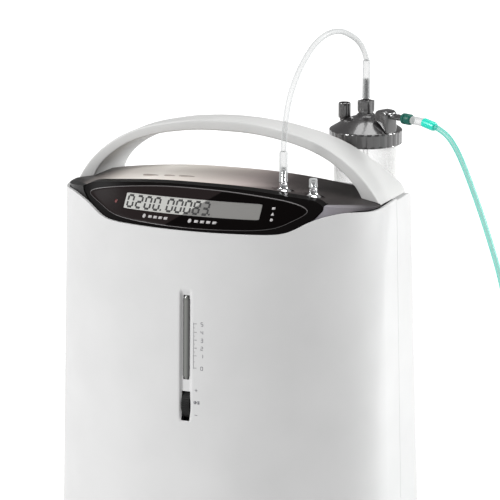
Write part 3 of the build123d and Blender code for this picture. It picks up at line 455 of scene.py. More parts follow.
def height_at(x, line):
    """Height of a dense polyline at x."""
    if x <= line[0][0]:
        return line[0][1]
    for (x0, z0), (x1, z1) in zip(line, line[1:]):
        if x <= x1:
            return z0 + (z1 - z0) * (x - x0) / max(x1 - x0, 1e-9)
    return line[-1][1]


def even(line, count):
    """Points spaced evenly along a polyline."""
    lengths = [0.0]
    for a, b in zip(line, line[1:]):
        lengths.append(lengths[-1] + math.dist(a, b))
    spaced, k = [], 0
    for i in range(count):
        target = lengths[-1] * i / (count - 1)
        while k < len(line) - 2 and lengths[k + 1] < target:
            k += 1
        share = (target - lengths[k]) / max(lengths[k + 1] - lengths[k], 1e-9)
        spaced.append(tuple(a + (b - a) * share for a, b in zip(line[k], line[k + 1])))
    return spaced


def smooth(t):
    """Smooth step from 0 to 1."""
    t = min(max(t, 0.0), 1.0)
    return t * t * (3 - 2 * t)


def front_y(x, z, proud=0.0):
    """Y of the casing's elliptical front."""
    a, f = HALF_WIDTH - DRAFT * z, FRONT_REACH - DRAFT * z
    return YW - f * math.sqrt(max(0.0, 1 - (x / a) ** 2)) - proud


def hood_y(x, z, proud=0.0):
    """Y of the console's sloped face, a shallow arc in plan."""
    t = (z - 386.0) / 46.0
    middle = YW - 107.0 + 44.5 * t
    end = YW - 64.5 + 2.5 * t
    rise = end - middle
    radius = (152.0**2 + rise**2) / (2 * rise)
    return middle + radius - math.sqrt(radius**2 - x * x) - proud


def printed(name, shapes, surface, material, body, proud=0.12):
    """Flat shapes (lists of x, z points) laid on a surface as a thin print."""
    points, faces = [], []
    for outline in shapes:
        first = len(points)
        points += [(x, surface(x, z, proud), z) for x, z in outline]
        faces.append(tuple(range(first, len(points))))
    mesh = raw_mesh(name, points, faces)
    return finished(name, mesh, material, body, solid=0.2)


def bar(x0, z0, x1, z1, half):
    """A straight stroke as a rectangle."""
    length = math.hypot(x1 - x0, z1 - z0)
    nx, nz = -(z1 - z0) / length * half, (x1 - x0) / length * half
    return [(x0 + nx, z0 + nz), (x0 - nx, z0 - nz), (x1 - nx, z1 - nz), (x1 + nx, z1 + nz)]


def disc(x, z, radius, steps=16):
    return [(x + radius * math.cos(2 * math.pi * i / steps), z + radius * math.sin(2 * math.pi * i / steps))
            for i in range(steps)]


SEGMENTS = {  # corners (column 0-1, row 0-2) of each segment of a seven-segment digit
    "a": ((0, 2), (1, 2)), "b": ((1, 2), (1, 1)), "c": ((1, 1), (1, 0)), "d": ((0, 0), (1, 0)),
    "e": ((0, 1), (0, 0)), "f": ((0, 2), (0, 1)), "g": ((0, 1), (1, 1)),
}
DIGITS = {
    0: "abcdef", 1: "bc", 2: "abged", 3: "abgcd", 4: "fgbc", 5: "afgcd", 6: "afgecd", 7: "abc",
    8: "abcdefg", 9: "abcdfg",
}


def digit(value, x, z, wide, tall, half, inset):
    """Strokes of a seven-segment digit with its lower left corner at (x, z)."""
    strokes = []
    for key in DIGITS[value]:
        ends = []
        for column, row in SEGMENTS[key]:
            height = tall * row / 2
            ends.append((x + wide * column, z + height))
        (x0, z0), (x1, z1) = ends
        dx, dz = (x1 - x0) * inset, (z1 - z0) * inset
        strokes.append(bar(x0 + dx, z0 + dz, x1 - dx, z1 - dz, half))
    return strokes


# ---------------------------------------------------------------- front shell
RIM_HALF = (
    (86, 386.9), (100, 387.8), (110, 390.2), (119, 394.2), (131, 400.4), (146, 405.2), (164, 407.6),
    (184, 405.0),
)
RIM_LINE = curve_through(RIM_HALF)
SKIN_SPAN = 188.0  # the half width that the front skin's columns are spaced over


def rim_z(x):
    return height_at(abs(x), RIM_LINE)


def groove_depth(x, z):
    """Depth of the scooped channel that holds the flow meter's sight tube and thumbwheel."""
    across = smooth((7.5 - abs(x)) / 3.4)
    return 3.0 * across * smooth((z - STRIP_LOW) / 10) * smooth((STRIP_HIGH - z) / 8)


def front_shell():
    """The casing's front with a rolled rim, the flow strip's channel and its two slots."""
    special = (-7.5, -6.6, -5.6, -4.8, -4.1, -3.6, 0.0, 3.6, 4.1, 4.8, 5.6, 6.6, 7.5)
    count = 120
    angles = [math.pi + math.pi * i / count for i in range(count + 1)]
    share = [math.cos(angle) for angle in angles if abs(math.cos(angle)) > 0.045]
    share = sorted(share + [x / SKIN_SPAN for x in special])
    sides = (43, 28, 14)
    columns = [(-1, YW + y) for y in sides] + [(s, None) for s in share] + [(1,
                                                                             YW + y) for y in sides[::-1]]
    low = [14 + (STRIP_LOW - 14) * i / 5 for i in range(5)]
    strip = [STRIP_LOW, 178.6, 180, 182, 186, 190, 201, 212, 216, 225, 240, 260, 280, 300, 312, 317.5, 319,
             321, 323,
             STRIP_HIGH]
    levels = low + strip
    top_rows = 8
    points, faces = [], []
    rows = len(levels) + top_rows
    for s, y in columns:
        for i in range(rows):
            x = SKIN_SPAN * s
            if i < len(levels):
                z = levels[i]
            else:
                z = STRIP_HIGH + (rim_z(x) - STRIP_HIGH) * (i - len(levels) + 1) / top_rows
            x *= (HALF_WIDTH - DRAFT * z) / SKIN_SPAN if abs(x) > 7.6 else 1
            if y is None:
                points.append((x, front_y(x, z) + groove_depth(x, z), z))
            else:
                points.append((x, y, z))
    heights = levels + [400.0]  # the last stands for every row above the strip
    for c in range(len(columns) - 1):
        outer = SKIN_SPAN * max(abs(columns[c][0]), abs(columns[c + 1][0]))
        for i in range(rows - 1):
            z0, z1 = heights[min(i, len(levels))], heights[min(i + 1, len(levels))]
            in_sight = outer < 3.7 and z0 >= SIGHT[0] and z1 <= SIGHT[1]
            in_wheel = outer < 4.9 and z0 >= WHEEL_SLOT[0] and z1 <= WHEEL_SLOT[1]
            if not (in_sight or in_wheel):
                faces.append((c * rows + i, (c + 1) * rows + i, (c + 1) * rows + i + 1, c * rows + i + 1))
    mesh = raw_mesh("front_shell_skin", points, faces)
    return finished("front_shell_skin", mesh, WHITE, "casing",
                    ["front_shell", "flow_bezel"],
                    sharp=50, bevel=1.3, solid=3.0)


front_shell()


# ---------------------------------------------------------------- flow meter
def sight_tube():
    """Smoky sight tube with pointed ends, standing a little proud of the channel's floor."""
    middle, half = sum(SIGHT) / 2, (SIGHT[1] - SIGHT[0]) / 2 - 0.6
    rings = []
    ends = [half - step for step in (0, 1.2, 2.4, 3.5, 5.0)]
    for z in [-z for z in ends] + [half * (i - 8) / 10 for i in range(17)] + ends[::-1]:
        wide = min(3.9, 1.3 + 0.75 * (half - abs(z)))
        ring = []
        for k in range(17):
            angle = math.pi * k / 16
            x = wide * math.cos(angle)
            front = YW - 112.5 + DRAFT * (middle + z - 250) + 3.2
            ring.append((x, front - 2.2 * math.sin(angle) * wide / 3.9, middle + z))
        ring += [(-wide, ring[-1][1] + 6, middle + z), (wide, ring[-1][1] + 6, middle + z)]
        rings.append(ring)
    return finished("sight_tube", lofted("sight_tube", rings), SMOKE_PAINTED_SHADE, "casing",
                    ["flow_tube"], sharp=60)


sight_tube()

SCALE_X = 9.4
NUMERAL_Z = (239.5, 253.0, 261.4, 270.2, 278.8, 288.0)
PLUS = (12.6, 215.0)
MINUS_Z = 187.5


def flow_marks():
    """Printed scale beside the flow meter: ticks, numerals 0 to 5, plus and minus."""
    strokes = [bar(SCALE_X, NUMERAL_Z[0] - 1, SCALE_X, NUMERAL_Z[-1] + 1, 0.22)]
    for low, high in zip(NUMERAL_Z, NUMERAL_Z[1:]):
        strokes.append(bar(SCALE_X, (low + high) / 2, SCALE_X + 1.6, (low + high) / 2, 0.18))
    for value, z in enumerate(NUMERAL_Z):
        strokes.append(bar(SCALE_X, z, SCALE_X + 3.4, z, 0.28))
        strokes += digit(value, SCALE_X + 8.2, z - 1.9, 2.2, 3.8, 0.3, inset=0.02)
    strokes.append(bar(PLUS[0] - 1.5, PLUS[1], PLUS[0] + 1.5, PLUS[1], 0.32))
    strokes.append(bar(PLUS[0], PLUS[1] - 1.5, PLUS[0], PLUS[1] + 1.5, 0.32))
    strokes.append(bar(PLUS[0] - 1.5, MINUS_Z, PLUS[0] + 1.5, MINUS_Z, 0.32))
    # a plain knob symbol between plus and minus
    strokes += [disc(PLUS[0] - 1.2, 201.5, 1.9), bar(PLUS[0] + 2.6, 199.8, PLUS[0] + 2.6, 203.2, 1.2)]
    printed("flow_marks", strokes, front_y, PRINT_GREY, "casing")


flow_marks()


# ---------------------------------------------------------------- console
WINDOW = (
    (-128, 411), (-112, 401), (-86, 392.6), (-30, 390.2), (30, 390.2), (84, 392.6),
    (108, 401), (121, 411), (100, 418.5), (50, 423.0), (0, 424.4), (-50, 423.4), (-104, 418.0),
)
WINDOW_LINE = curve_through(WINDOW, 8, closed=True)
LCD_HALF = (78.2, 7.5)


def turn_round_display(point):
    """Angle of a point round the display, which sorts the outline as seen from a square display."""
    return math.atan2(point[1] - LCD_Z, (point[0] - LCD_X) * LCD_HALF[1] / LCD_HALF[0])


def console_window():
    """Gloss window: a ring from its outline, rolled at the edge, to the display's opening."""
    centre = Vector((LCD_X, LCD_Z))
    outline = sorted(WINDOW_LINE, key=turn_round_display)
    inner = []
    for x, z in outline:
        dx, dz = x - LCD_X, z - LCD_Z
        k = min(LCD_HALF[0] / max(abs(dx), 1e-6), LCD_HALF[1] / max(abs(dz), 1e-6))
        inner.append((LCD_X + dx * k, LCD_Z + dz * k))
    rings = []
    for inward, proud in ((0, 0.0), (0, 0.7), (0.4, 1.25), (1.1, 1.5)):
        ring = []
        for (x, z) in outline:
            step = (Vector((x, z)) - centre).normalized() * inward
            ring.append((x - step.x, hood_y(x - step.x, z - step.y, proud), z - step.y))
        rings.append(ring)
    for i in range(1, 7):
        ring = []
        for (x, z), (u, w) in zip(outline, inner):
            px, pz = x + (u - x) * i / 6, z + (w - z) * i / 6
            ring.append((px, hood_y(px, pz, 1.5), pz))
        rings.append(ring)
    rings.append([(x, hood_y(x, z, 0.0), z) for x, z in inner])
    mesh = lofted("console_window", rings, caps=False, loop=True)
    finished("console_window", mesh, LENS_BLACK_PAINTED_REFLECTION, "casing", ["console_lens"], sharp=60)


def patch(name, x0, x1, z0, z1, proud, depth, material, nodes, columns=24, rows=4):
    """A rectangular plate that follows the console's face."""
    points = []
    for i in range(columns + 1):
        for j in range(rows + 1):
            x, z = x0 + (x1 - x0) * i / columns, z0 + (z1 - z0) * j / rows
            points.append((x, hood_y(x, z, proud), z))
    faces = []
    for i in range(columns):
        for j in range(rows):
            a = i * (rows + 1) + j
            faces.append((a, a + rows + 1, a + rows + 2, a + 1))
    mesh = raw_mesh(name, points, faces)
    finished(name, mesh, material, "casing", nodes, bevel=0.3, solid=depth)


def ribbon(name, line, half, proud, material):
    """A thin raised closed line on the console's face."""
    count = len(line)
    rings = []
    for i, (x, z) in enumerate(line):
        a, b = line[(i - 1) % count], line[(i + 1) % count]
        run = Vector((b[0] - a[0], b[1] - a[1])).normalized()
        ring = []
        for k in range(6):
            angle = math.pi * k / 5
            u = half * math.cos(angle)
            px, pz = x - run.y * u, z + run.x * u
            ring.append((px, hood_y(px, pz, proud * math.sin(angle) + 0.02), pz))
        rings.append(ring)
    mesh = lofted(name, rings, caps=False, loop=True)
    finished(name, mesh, material, "casing", sharp=80)


def display():
    """Display glass, its digits, the marks round it and the lamp."""
    patch("display_glass", LCD_X - 78, LCD_X + 78, LCD_Z - 7.4, LCD_Z + 7.4, 1.25, 1.4, LCD_PAINTED_REFLECTION,
          ["lcd_window"])
    strokes = []
    for first, pitch, values in ((-78.4, 10.7, (0, 2, 0, 0)), (-30.4, 10.2, (0, 0, 0, 8, 3))):
        for i, value in enumerate(values):
            strokes += digit(value, first + pitch * i, 402.6, 6.4, 10.6, 0.98, inset=0.12)
        strokes.append(disc(first + pitch * len(values) - 1.4, 403.0, 0.95))
    printed("display_digits", strokes, hood_y, INK, "casing", proud=1.42)
    marks = []
    for x, wide in ((-56, 31), (-2, 34)):
        marks.append(disc(x + 2.2, 396.2, 1.9))
        for k in range(4):
            marks.append(bar(x + 7.4 + k * wide / 5, 396.2, x + 11.6 + k * wide / 5, 396.2, 1.15))
    marks += [
        bar(85.0, 412.2, 88.4, 412.2, 1.1), [(85.0, 405.6), (88.6, 405.6), (86.8, 408.6)], disc(86.8, 401.4,
                                                                                                1.5),
    ]
    printed("console_marks", marks, hood_y, PRINT_PALE, "casing", proud=1.62)
    printed("alarm_lamp", [disc(-92.8, 406, 1.7)], hood_y, RED_LAMP, "casing", proud=1.66)


console_window()
ribbon("window_trim", WINDOW_LINE, 0.75, 0.6, TRIM_GREY)
display()


# ---------------------------------------------------------------- plain ovals on the deck
def deck_motif():
    """Three plain raised ovals, in place of a mark."""
    steps = 24
    points, faces = [], []
    for x, half in ((-77, 10.5), (-55, 7.5), (-35, 10.5)):
        z = 424.9 + 1.1 * (1 - (x / 53) ** 2)
        faces += [tuple(k + len(points) for k in face) for face in ring_faces(steps, 2)]
        for wide, deep, height in ((half, 4.2, z - 0.6), (half - 1.6, 2.8, z + 0.55)):
            for k in range(steps):
                angle = 2 * math.pi * k / steps
                points.append((x + wide * math.cos(angle), YW - 22 + deep * math.sin(angle), height))
    mesh = mesh_of("deck_motif", points, faces)
    finished("deck_motif", mesh, MOTIF, "casing", sharp=30, bevel=0.4)


deck_motif()


# ---------------------------------------------------------------- carry handle
HANDLE_CREASE = (
    (0, 485.4), (20, 484.9), (40, 483.2), (60, 480.2), (80, 476.2), (100, 470.4), (118, 462.8),
    (134, 453.4),
    (148, 442.8), (160, 431.0), (169, 419.5), (174.5, 411.0), (177.5, 405.9),
)
HANDLE_RIDGE = (
    (0, 483.0), (20, 482.3), (36, 480.8), (56, 478.2), (78, 473.8), (98, 469.0), (118.7, 461.7),
    (138.5, 451.6),
    (155.5, 439.7), (168.5, 429.0), (178.6, 418.5), (182.4, 411.0), (182.7, 405.9),
)
HANDLE_IN = (
    (0, 473.4), (20, 473.2), (41, 471.8), (62, 468.8), (80, 465.0), (101, 458.4), (120, 449.4),
    (136, 438.0),
    (148, 426.0), (155, 415.0), (158.6, 405.9),
)
HANDLE_IN_BACK = (
    (0, 471.4), (20, 471.1), (40, 469.4), (60, 466.2), (78, 462.0), (98, 455.0), (116, 445.6), (131, 434.0),
    (143, 421.8), (150.5, 412.0), (154.5, 405.9),
)
HANDLE_FRONT = ((400, YW + 2.2), (430, YW + 0.2), (480, YW + 0.2), (487, YW + 2.0))
HANDLE_BACK = (
    (400, YW + 84), (406, YW + 82), (413, YW + 76.5), (421, YW + 71), (432, YW + 65.5), (445, YW + 61),
    (470, YW + 57.5),
    (482, YW + 55.5), (487, YW + 50),
)
CORNER_STEPS = 5


def mirrored_line(half):
    """A curve over the whole arch from the points of its right half."""
    dense = curve_through([(-x, z) for x, z in half[1:2]] + list(half), 12)[12:]
    return [(-x, z) for x, z in reversed(dense)] + dense[1:]


def rounded_section(crease, ridge, inner, inner_back, front, back, radii):
    """Rounded quadrilateral: outer edge from crease to ridge, inner edge from front to back."""
    wide = math.dist(crease, inner)
    deep = back - front
    corners = ((0, 0, 1, 1), (wide, 0, -1, 1), (wide, deep, -1, -1), (0, deep, 1, -1))
    ring = []
    for turn, ((u, v, su, sv), radius) in enumerate(zip(corners, radii)):
        radius = min(radius, wide * 0.42)
        for k in range(CORNER_STEPS):
            angle = math.radians(180 + 90 * turn + 90 * k / (CORNER_STEPS - 1))
            across = (u + su * radius + radius * math.cos(angle)) / wide
            along_y = (v + sv * radius + radius * math.sin(angle)) / deep
            place = []
            for c in (0, 1):
                outside = crease[c] + (ridge[c] - crease[c]) * along_y
                inside = inner[c] + (inner_back[c] - inner[c]) * along_y
                place.append(outside + (inside - outside) * across)
            ring.append((place[0], front + deep * along_y, place[1]))
    return ring


def carry_handle():
    """Arch lofted from rounded sections: broad on top, its front edge a soft crease."""
    lines = [even(mirrored_line(half), 121) for half in (HANDLE_CREASE, HANDLE_RIDGE, HANDLE_IN,
                                                         HANDLE_IN_BACK)]
    rings = []
    for crease, ridge, inner, inner_back in zip(*lines):
        front, back = height_at(crease[1], HANDLE_FRONT), height_at(crease[1], HANDLE_BACK)
        rings.append(rounded_section(crease, ridge, inner, inner_back, front, back, (2.2, 2.2, 5.0, 8.0)))
    mesh = lofted("carry_handle_skin", rings)
    finished("carry_handle_skin", mesh, HANDLE_WHITE, "casing", ["carry_handle"],
             sharp=55)


carry_handle()


def foot_shadow_strips():
    """Dark strip round each of the handle's feet where it stands in the deck: painted shadow of the gap
    there.
    """
    corner = (155.0, YW - 0.8)
    path = [
        (155.0, YW + 41, 411.6), (*corner, 411.6), (164, YW - 1.0, 409.9), (172, YW - 1.0, 408.4),
        (178.5, YW - 1.0, 406.8),
    ]
    for side, name in ((-1, "foot_shadow_strip_left"), (1, "foot_shadow_strip_right")):
        rings = []
        for x, y, z in path:
            dx, dy = (1.0, 0.0) if y > YW else (0.0, 1.0)
            if (x, y) == corner:
                dx, dy = 1.0, 1.0
            ring = [(-1, -6), (-1, 1), (1, 1.4), (1, -6)]
            rings.append([(side * (x + dx * u), y + dy * u, z + w) for u, w in ring])
        mesh = lofted(name, rings)
        # a dark strip as painted shadow in the gap round the foot
        finished(name, mesh, DARK, "casing", bevel=0.3)


foot_shadow_strips()


# ---------------------------------------------------------------- oxygen outlets
def nut_corners(base):
    """Shape of an outlet whose nut, just above its base, has six soft corners."""
    def shape(radius, height, angle):
        if base + 3.2 < height < base + 9:
            return radius * (1 + 0.035 * math.cos(6 * angle))
        return radius
    return shape


def outlets():
    """Chrome outlets with a flange, a nut and a ribbed barb, each in its eye-shaped recess."""
    for index, ((x, y), drop, tip) in enumerate(zip(OUTLETS, OUTLET_DROP, (446.0, 435.4))):
        base = RECESS_FLOOR - drop + 0.3
        profile = [
            (0.0, base - 17), (2.8, base - 17), (2.8, base), (8.6, base), (8.8, base + 0.5),
            (6.4, base + 2.4),
            (5.4, base + 3.2), (4.7, base + 4.4), (4.5, base + 8.6), (3.9, base + 9.4), (2.6, base + 9.8),
        ]
        z = base + 10.4
        while z + 3.4 < tip:
            profile += [(2.55, z), (3.0, z + 0.5), (2.2, z + 2.6)]
            z += 3.2
        profile += [(2.2, tip - 0.6), (1.7, tip), (0.0, tip)]
        nodes = ["outlet_fittings"] if index == 0 else []
        mesh = lathe(f"outlet_{index + 1}", profile, (x, y), 48, shape=nut_corners(base))
        finished(f"outlet_{index + 1}", mesh, CHROME, "casing", nodes, sharp=28)


def sleeve(name, x, y, low, high, radius, bore, deep, body, node):
    """Clear cuff pushed over a barb, flared at its mouth and rounded at its end."""
    profile = [
        (bore, low + deep), (bore, low + 0.3), (bore + 0.3, low), (radius, low), (radius, low + 2.2),
        (radius - 0.25, low + 2.8), (radius - 0.25, high - 1.2), (radius - 0.9, high - 0.2),
        (radius - 1.6, high),
        (0.0, high), (0.0, high - 0.8), (0.0, low + deep),
    ]
    mesh = lathe(name, profile, (x, y), 40)
    return finished(name, mesh, CLEAR_TUBE, body, [node] if node else [], sharp=40)


SLEEVE_TOP = 464.0
LID_SLEEVE_TOP = 543.0
outlets()
first_sleeve = sleeve("outlet_sleeve", *OUTLETS[0], 431.6, SLEEVE_TOP, 4.7, 3.1, 15.5, "bottle",
                      "connecting_sleeves")
lid_sleeve = sleeve("lid_sleeve", *BOTTLE, 501.0, LID_SLEEVE_TOP, 4.55, 3.5, 21.5, "bottle", None)
sleeve("spare_cap_skin", *OUTLETS[1], 428.2, 437.6, 4.7, 3.1, 8.0, "spare_cap", "outlet_cap")


# ---------------------------------------------------------------- humidifier bottle
JAR_LOW, JAR_TOP, JAR_RADIUS = 312.3, 464.0, 35.5
LID_LOW, LID_RADIUS = 451.3, 40.6
RIBS = 30


def bottle_jar():
    """Blow-moulded clear jar with a rounded base, a low bead and moulded level rings."""
    outside = [(0.0, JAR_LOW + 1.6), (20, JAR_LOW + 1.2), (28, JAR_LOW), (31.5, JAR_LOW + 0.4),
               (34.2, JAR_LOW + 2.4),
               (35.3, JAR_LOW + 6), (35.3, 330)]
    for z in (345.0, 375.0, 405.0, 435.0):
        outside += [(35.1, z - 1.6), (35.5, z - 0.6), (35.5, z + 0.6), (35.1, z + 1.6)]
    outside += [(35.1, 446), (35.5, 448), (35.5, JAR_TOP)]
    inside = [(33.4, JAR_TOP), (33.2, 330), (33.2, JAR_LOW + 8), (31.5, JAR_LOW + 4), (27, JAR_LOW + 2.6),
              (0.0, JAR_LOW + 3)]
    mesh = lathe("bottle_jar_skin", outside + inside, BOTTLE, 96)
    finished("bottle_jar_skin", mesh, CLEAR, "bottle", ["bottle_jar"], sharp=40)


def lid_shape(radius, height, angle):
    """Shallow grip ribs round the lid's band."""
    if radius > 40 and LID_LOW + 1.5 < height < 465.6:
        return radius - 0.55 * (0.5 + 0.5 * math.cos(RIBS * angle)) ** 3
    return radius


def bottle_lid():
    band = [(LID_RADIUS - 0.8, LID_LOW), (LID_RADIUS, LID_LOW + 0.8), (LID_RADIUS, LID_LOW + 1.6)]
    band += [(LID_RADIUS, LID_LOW + 2.4 + i * 2.2) for i in range(6)]
    band += [(LID_RADIUS, 465.4), (LID_RADIUS - 0.2, 466.4), (LID_RADIUS - 1.2, 467.4)]
    dome = [(38.6, 467.9), (37.6, 468.4), (36.5, 469.2), (34, 470.6), (31, 472.4), (27, 474.8), (23, 477.0),
            (18.5, 478.9),
            (14.5, 480.2), (11.6, 481.2), (10.2, 482.2), (9.4, 483.4), (8.6, 484.0), (4.15, 484.0)]
    under = [(4.15, 478), (18, 476), (26, 472), (33, 467), (34.5, JAR_TOP + 0.1),
             (JAR_RADIUS + 0.1, JAR_TOP + 0.1),
             (JAR_RADIUS + 0.1, LID_LOW)]
    mesh = lathe("bottle_lid_skin", band + dome + under, BOTTLE, 240, hollow=True, shape=lid_shape)
    finished("bottle_lid_skin", mesh, LID_GREY, "bottle", ["bottle_lid"], sharp=40)


def inlet_barb():
    profile = [(0.0, 470), (4.0, 470), (4.0, 499.2), (3.4, 500), (2.6, 500.4)]
    for z in (501.0, 506.0, 511.0, 516.0):
        profile += [(2.6, z), (3.35, z + 1.0), (2.5, z + 4.4)]
    profile += [(2.2, 521.4), (1.4, 522), (0.0, 522)]
    finished("inlet_barb_skin", lathe("inlet_barb_skin", profile, BOTTLE, 40), LID_GREY, "bottle",
             ["inlet_barb"], sharp=30)


def nut_shape(radius, height, angle):
    """Two broad finger wings on the nut."""
    if radius < 6.5:
        return radius
    wing = (0.5 + 0.5 * math.cos(2 * (angle - 0.45))) ** 10
    return radius + wing * (9.4 - radius) * smooth((height - 484.5) / 2.0)


def lid_nut():
    profile = [(4.1, 484.5), (6.9, 484.5), (6.9, 486), (6.7, 488.5), (6.5, 491), (6.6, 494), (6.7, 496.6),
               (6.55, 498.2),
               (5.8, 498.8), (4.1, 498.8)]
    mesh = lathe("inlet_nut_skin", profile, BOTTLE, 120, hollow=True, shape=nut_shape)
    finished("inlet_nut_skin", mesh, LID_GREY, "lid_nut", ["inlet_nut"], sharp=40)


def relief_slots(radius, height, angle):
    """Eight shallow slots round the relief cap."""
    if radius > 6.6 and 480 < height < 493.2:
        return radius - 0.7 * (0.5 + 0.5 * math.cos(8 * angle)) ** 6
    return radius


def relief_valve():
    """Pressure relief cap: a slotted sleeve round a spring post."""
    x, y = BOTTLE[0] - 25, BOTTLE[1]
    profile = [(0.0, 474.3), (5.2, 474.3), (5.3, 477), (6.5, 477.6), (6.8, 478.4), (6.8, 493.0),
               (6.4, 494.0), (5.6, 494.4),
               (5.2, 494.0), (5.0, 490.5), (2.4, 490.2), (2.2, 492.4), (1.4, 493.0), (0.0, 493.0)]
    dense = []
    for (r0, z0), (r1, z1) in zip(profile, profile[1:]):
        cuts = 6 if abs(z1 - z0) > 8 else 1
        dense += [(r0 + (r1 - r0) * k / cuts, z0 + (z1 - z0) * k / cuts) for k in range(cuts)]
    mesh = lathe("relief_valve_skin", dense + [profile[-1]], (x, y), 96, shape=relief_slots)
    finished("relief_valve_skin", mesh, LID_GREY, "bottle", ["relief_valve"], sharp=35)


OUT_ANGLE = math.radians(-26.0)
OUT_DIR = Vector((math.cos(OUT_ANGLE), math.sin(OUT_ANGLE), 0))
NOZZLE_Z = 486.0


def out_point(d, z):
    """A point d from the bottle's axis towards its outlet, in mm."""
    return (BOTTLE[0] + d * OUT_DIR.x, BOTTLE[1] + d * OUT_DIR.y, z)


def outlet_elbow():
    """Outlet housing on the lid's shoulder, with rounded cheeks, and the ribbed nozzle in it."""
    outline = [(19.4, 481.4), (20, 485.4), (22, 489.6), (26.2, 491.9), (35, 491.9), (38.6, 490.2),
               (39.9, 487), (39.9, 468.8),
               (37, 468.8), (34, 471.0), (27, 476.0)]
    outline = even(curve_through(outline, 6, closed=True), 64)
    middle = Vector([sum(p[i] for p in outline) / len(outline) for i in (0, 1)])
    side = Vector((-OUT_DIR.y, OUT_DIR.x, 0))
    rings = []
    for offset, inward in ((-8.4, 2.6), (-8.1, 1.3), (-7.1, 0.4), (-5.4, 0), (5.4, 0), (7.1, 0.4),
                           (8.1, 1.3), (8.4, 2.6)):
        ring = []
        for point in outline:
            step = (middle - Vector(point)).normalized() * inward
            ring.append(tuple(Vector(out_point(point[0] + step.x, point[1] + step.y)) + side * offset))
        rings.append(ring)
    finished("outlet_elbow_skin", lofted("outlet_elbow_skin", rings), LID_GREY, "bottle",
             ["outlet_elbow"],
             sharp=50)
    profile = [(0, 0.0), (0, 3.6), (4, 3.55), (5, 3.0), (6, 3.6), (10, 3.2), (11, 3.6), (15, 3.2),
               (16, 3.6), (20, 3.2),
               (23.4, 3.1), (24, 2.6), (24, 0.0)]
    mesh = along("outlet_nozzle", profile, out_point(38, NOZZLE_Z), OUT_DIR)
    finished("outlet_nozzle", mesh, LID_GREY, "bottle", sharp=30)


bottle_jar()
bottle_lid()
inlet_barb()
lid_nut()
relief_valve()
outlet_elbow()


# ---------------------------------------------------------------- connector on the supply tube
def supply_connector():
    """Green swivel, clear sleeve and cyan collar, one after the other."""
    profile = [(0, 3.75), (0, 5.2), (0.6, 5.9), (3.4, 6.0), (4.0, 5.2), (5.0, 5.2), (5.6, 6.0), (10.6, 5.9),
               (12.4, 4.9),
               (13.0, 4.0), (13.0, 0.0), (7, 0.0), (6, 3.72)]
    pieces = [finished(
        "swivel_nut", along("swivel_nut", profile, out_point(57, NOZZLE_Z), OUT_DIR), SWIVEL_GREEN,
        "bottle",
        ["supply_connector"], sharp=35,
    )]
    start, end = Vector(out_point(70.2, NOZZLE_Z)), Vector(out_point(88.6, NOZZLE_Z))
    profile = [(0, 0.0), (0, 4.1), (1, 4.4), (17.4, 4.4), (18.4, 3.9), (18.4, 0.0)]
    pieces.append(finished(
        "connector_sleeve", along("connector_sleeve", profile, start, end - start), CLEAR_TUBE, "bottle",
        sharp=35,
    ))
    start, end = Vector(out_point(87.2, NOZZLE_Z)), Vector(out_point(104.4, 483.2))
    long = (end - start).length
    profile = [(0, 0.0), (0, 4.4), (0.8, 5.0), (long - 3, 5.0), (long - 0.8, 4.4), (long, 3.4), (long, 0.0)]
    pieces.append(finished(
        "connector_collar", along("connector_collar", profile, start, end - start), CYAN, "bottle",
        sharp=35,
    ))
    return pieces


connector_pieces = supply_connector()


# ---------------------------------------------------------------- cords
ARCH = (
    (0, SLEEVE_TOP), (0.012, 492), (0.07, 523.5), (0.208, 554), (0.4, 577), (0.632, 583.5), (0.847, 571.5),
    (0.967, 556), (1, LID_SLEEVE_TOP),
)
FALL = (
    (104.5, 483.2), (118, 479.5), (132, 468), (145, 450), (158, 427), (172, 401), (187, 370), (203, 333),
    (215, 290), (222, 243), (225, 194), (225.5, 146),
)
COIL = (288.0, YW + 54.0)
LANDING = (
    (COIL[0] + 40, YW + 6.5, 104), (COIL[0] + 39.5, YW + 9, 70), (COIL[0] + 38, YW + 17, 42),
    (COIL[0] + 36.5, YW + 32, 22), (COIL[0] + 36, COIL[1], 15),
)
TAIL = (
    (COIL[0] - 39, COIL[1], 3.1), (COIL[0] - 38.5, COIL[1] - 18, 3.6), (COIL[0] - 37, COIL[1] - 36, 6.2),
)
COIL_LAYERS = ((36, 15), (30, 15), (27.5, 9), (33.2, 9), (39, 9), (33.2, 3.1), (39, 3.1), (39, 3.1))
COIL_TURNS = 6.5
POINTS_PER_TURN = 16


def coil_points():
    """The wound stretch: turns side by side in three layers."""
    points = []
    for i in range(1, int(COIL_TURNS * POINTS_PER_TURN)):
        turn = i / POINTS_PER_TURN
        k = int(turn)
        share = smooth((turn - k - 0.75) / 0.25)
        radius = COIL_LAYERS[k][0] * (1 - share) + COIL_LAYERS[k + 1][0] * share
        z = COIL_LAYERS[k][1] * (1 - share) + COIL_LAYERS[k + 1][1] * share
        angle = 2 * math.pi * turn
        points.append((COIL[0] + radius * math.cos(angle), COIL[1] + radius * math.sin(angle), z))
    return points


def tube_curve(name, route, material, nodes):
    """A smooth tube: the route's points (mm) are the control points of a quadratic NURBS."""
    curve = bpy.data.curves.new(name, "CURVE")
    curve.dimensions = "3D"
    curve.bevel_depth = TUBE_RADIUS * MM
    curve.bevel_resolution = 6
    curve.use_fill_caps = True
    spline = curve.splines.new("NURBS")
    spline.points.add(len(route) - 1)
    for point, place in zip(spline.points, route):
        point.co = (*[v * MM for v in place], 1)
    spline.order_u = 3
    spline.use_endpoint_u = True
    spline.resolution_u = 8
    curve.materials.append(material)
    obj = bpy.data.objects.new(name, curve)
    COLLECTION.objects.link(obj)
    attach(obj, "bottle")
    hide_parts(*nodes)
    return obj


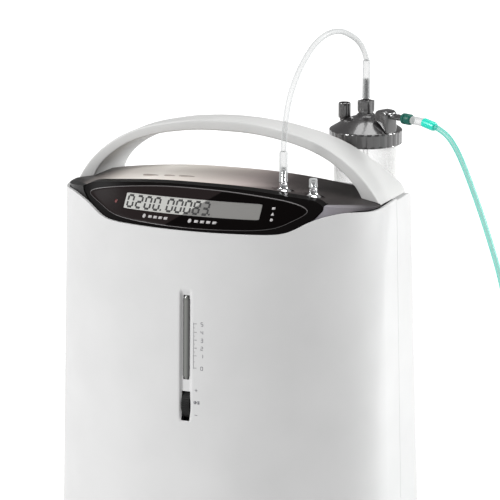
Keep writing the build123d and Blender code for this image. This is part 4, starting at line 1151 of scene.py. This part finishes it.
def arch_point(share, z):
    """A point of the clear tube's arch, by its share of the way from the outlet to the bottle."""
    return tuple(a + (b - a) * share for a, b in zip(OUTLETS[0], BOTTLE)) + (z,)


arch = tube_curve("connecting_tube_line", [arch_point(*p) for p in ARCH], CLEAR_TUBE, ["connecting_tube"])

supply = tube_curve(
    "supply_tube_line", [out_point(*p) for p in FALL] + list(LANDING) + coil_points() + list(TAIL),
    GREEN, ["supply_tube", "supply_coil"],
)


# ---------------------------------------------------------------- stage and light
def make_floor():
    reach = 8000
    corners = [(-reach, -reach, 0), (reach, -reach, 0), (reach, reach, 0), (-reach, reach, 0)]
    mesh = raw_mesh("floor", corners, [(0, 1, 2, 3)])
    floor = bpy.data.objects.new("floor", mesh)
    material, _, shader = new_material("floor_white")
    shader.inputs["Base Color"].default_value = (0.25, 0.25, 0.25, 1)
    shader.inputs["Roughness"].default_value = 0.9
    shader.inputs["Emission Color"].default_value = (1, 1, 1, 1)
    shader.inputs["Emission Strength"].default_value = 0.82
    mesh.materials.append(material)
    COLLECTION.objects.link(floor)


def sun(name, azimuth, elevation, strength, spread_angle):
    """A soft distant lamp; azimuth 0 is in front of the object, 90 to its right."""
    data = bpy.data.lights.new(name, "SUN")
    data.energy = strength
    data.angle = math.radians(spread_angle)
    lamp = bpy.data.objects.new(name, data)
    a, e = math.radians(azimuth), math.radians(elevation)
    towards = Vector((math.sin(a) * math.cos(e), -math.cos(a) * math.cos(e), math.sin(e)))
    lamp.rotation_euler = towards.to_track_quat("Z", "Y").to_euler()
    COLLECTION.objects.link(lamp)


def make_light():
    world = bpy.data.worlds.new("world")
    world.use_nodes = True
    background = world.node_tree.nodes["Background"]
    background.inputs["Color"].default_value = (1, 1, 1, 1)
    background.inputs["Strength"].default_value = 0.2
    SCENE.world = world
    SCENE.view_settings.view_transform = "Standard"
    sun("left_key", -46, 28, 3.7, 25)
    sun("right_rim", 112, 22, 4.5, 20)
    sun("overhead", 180, 78, 1.5, 40)


make_floor()
make_light()
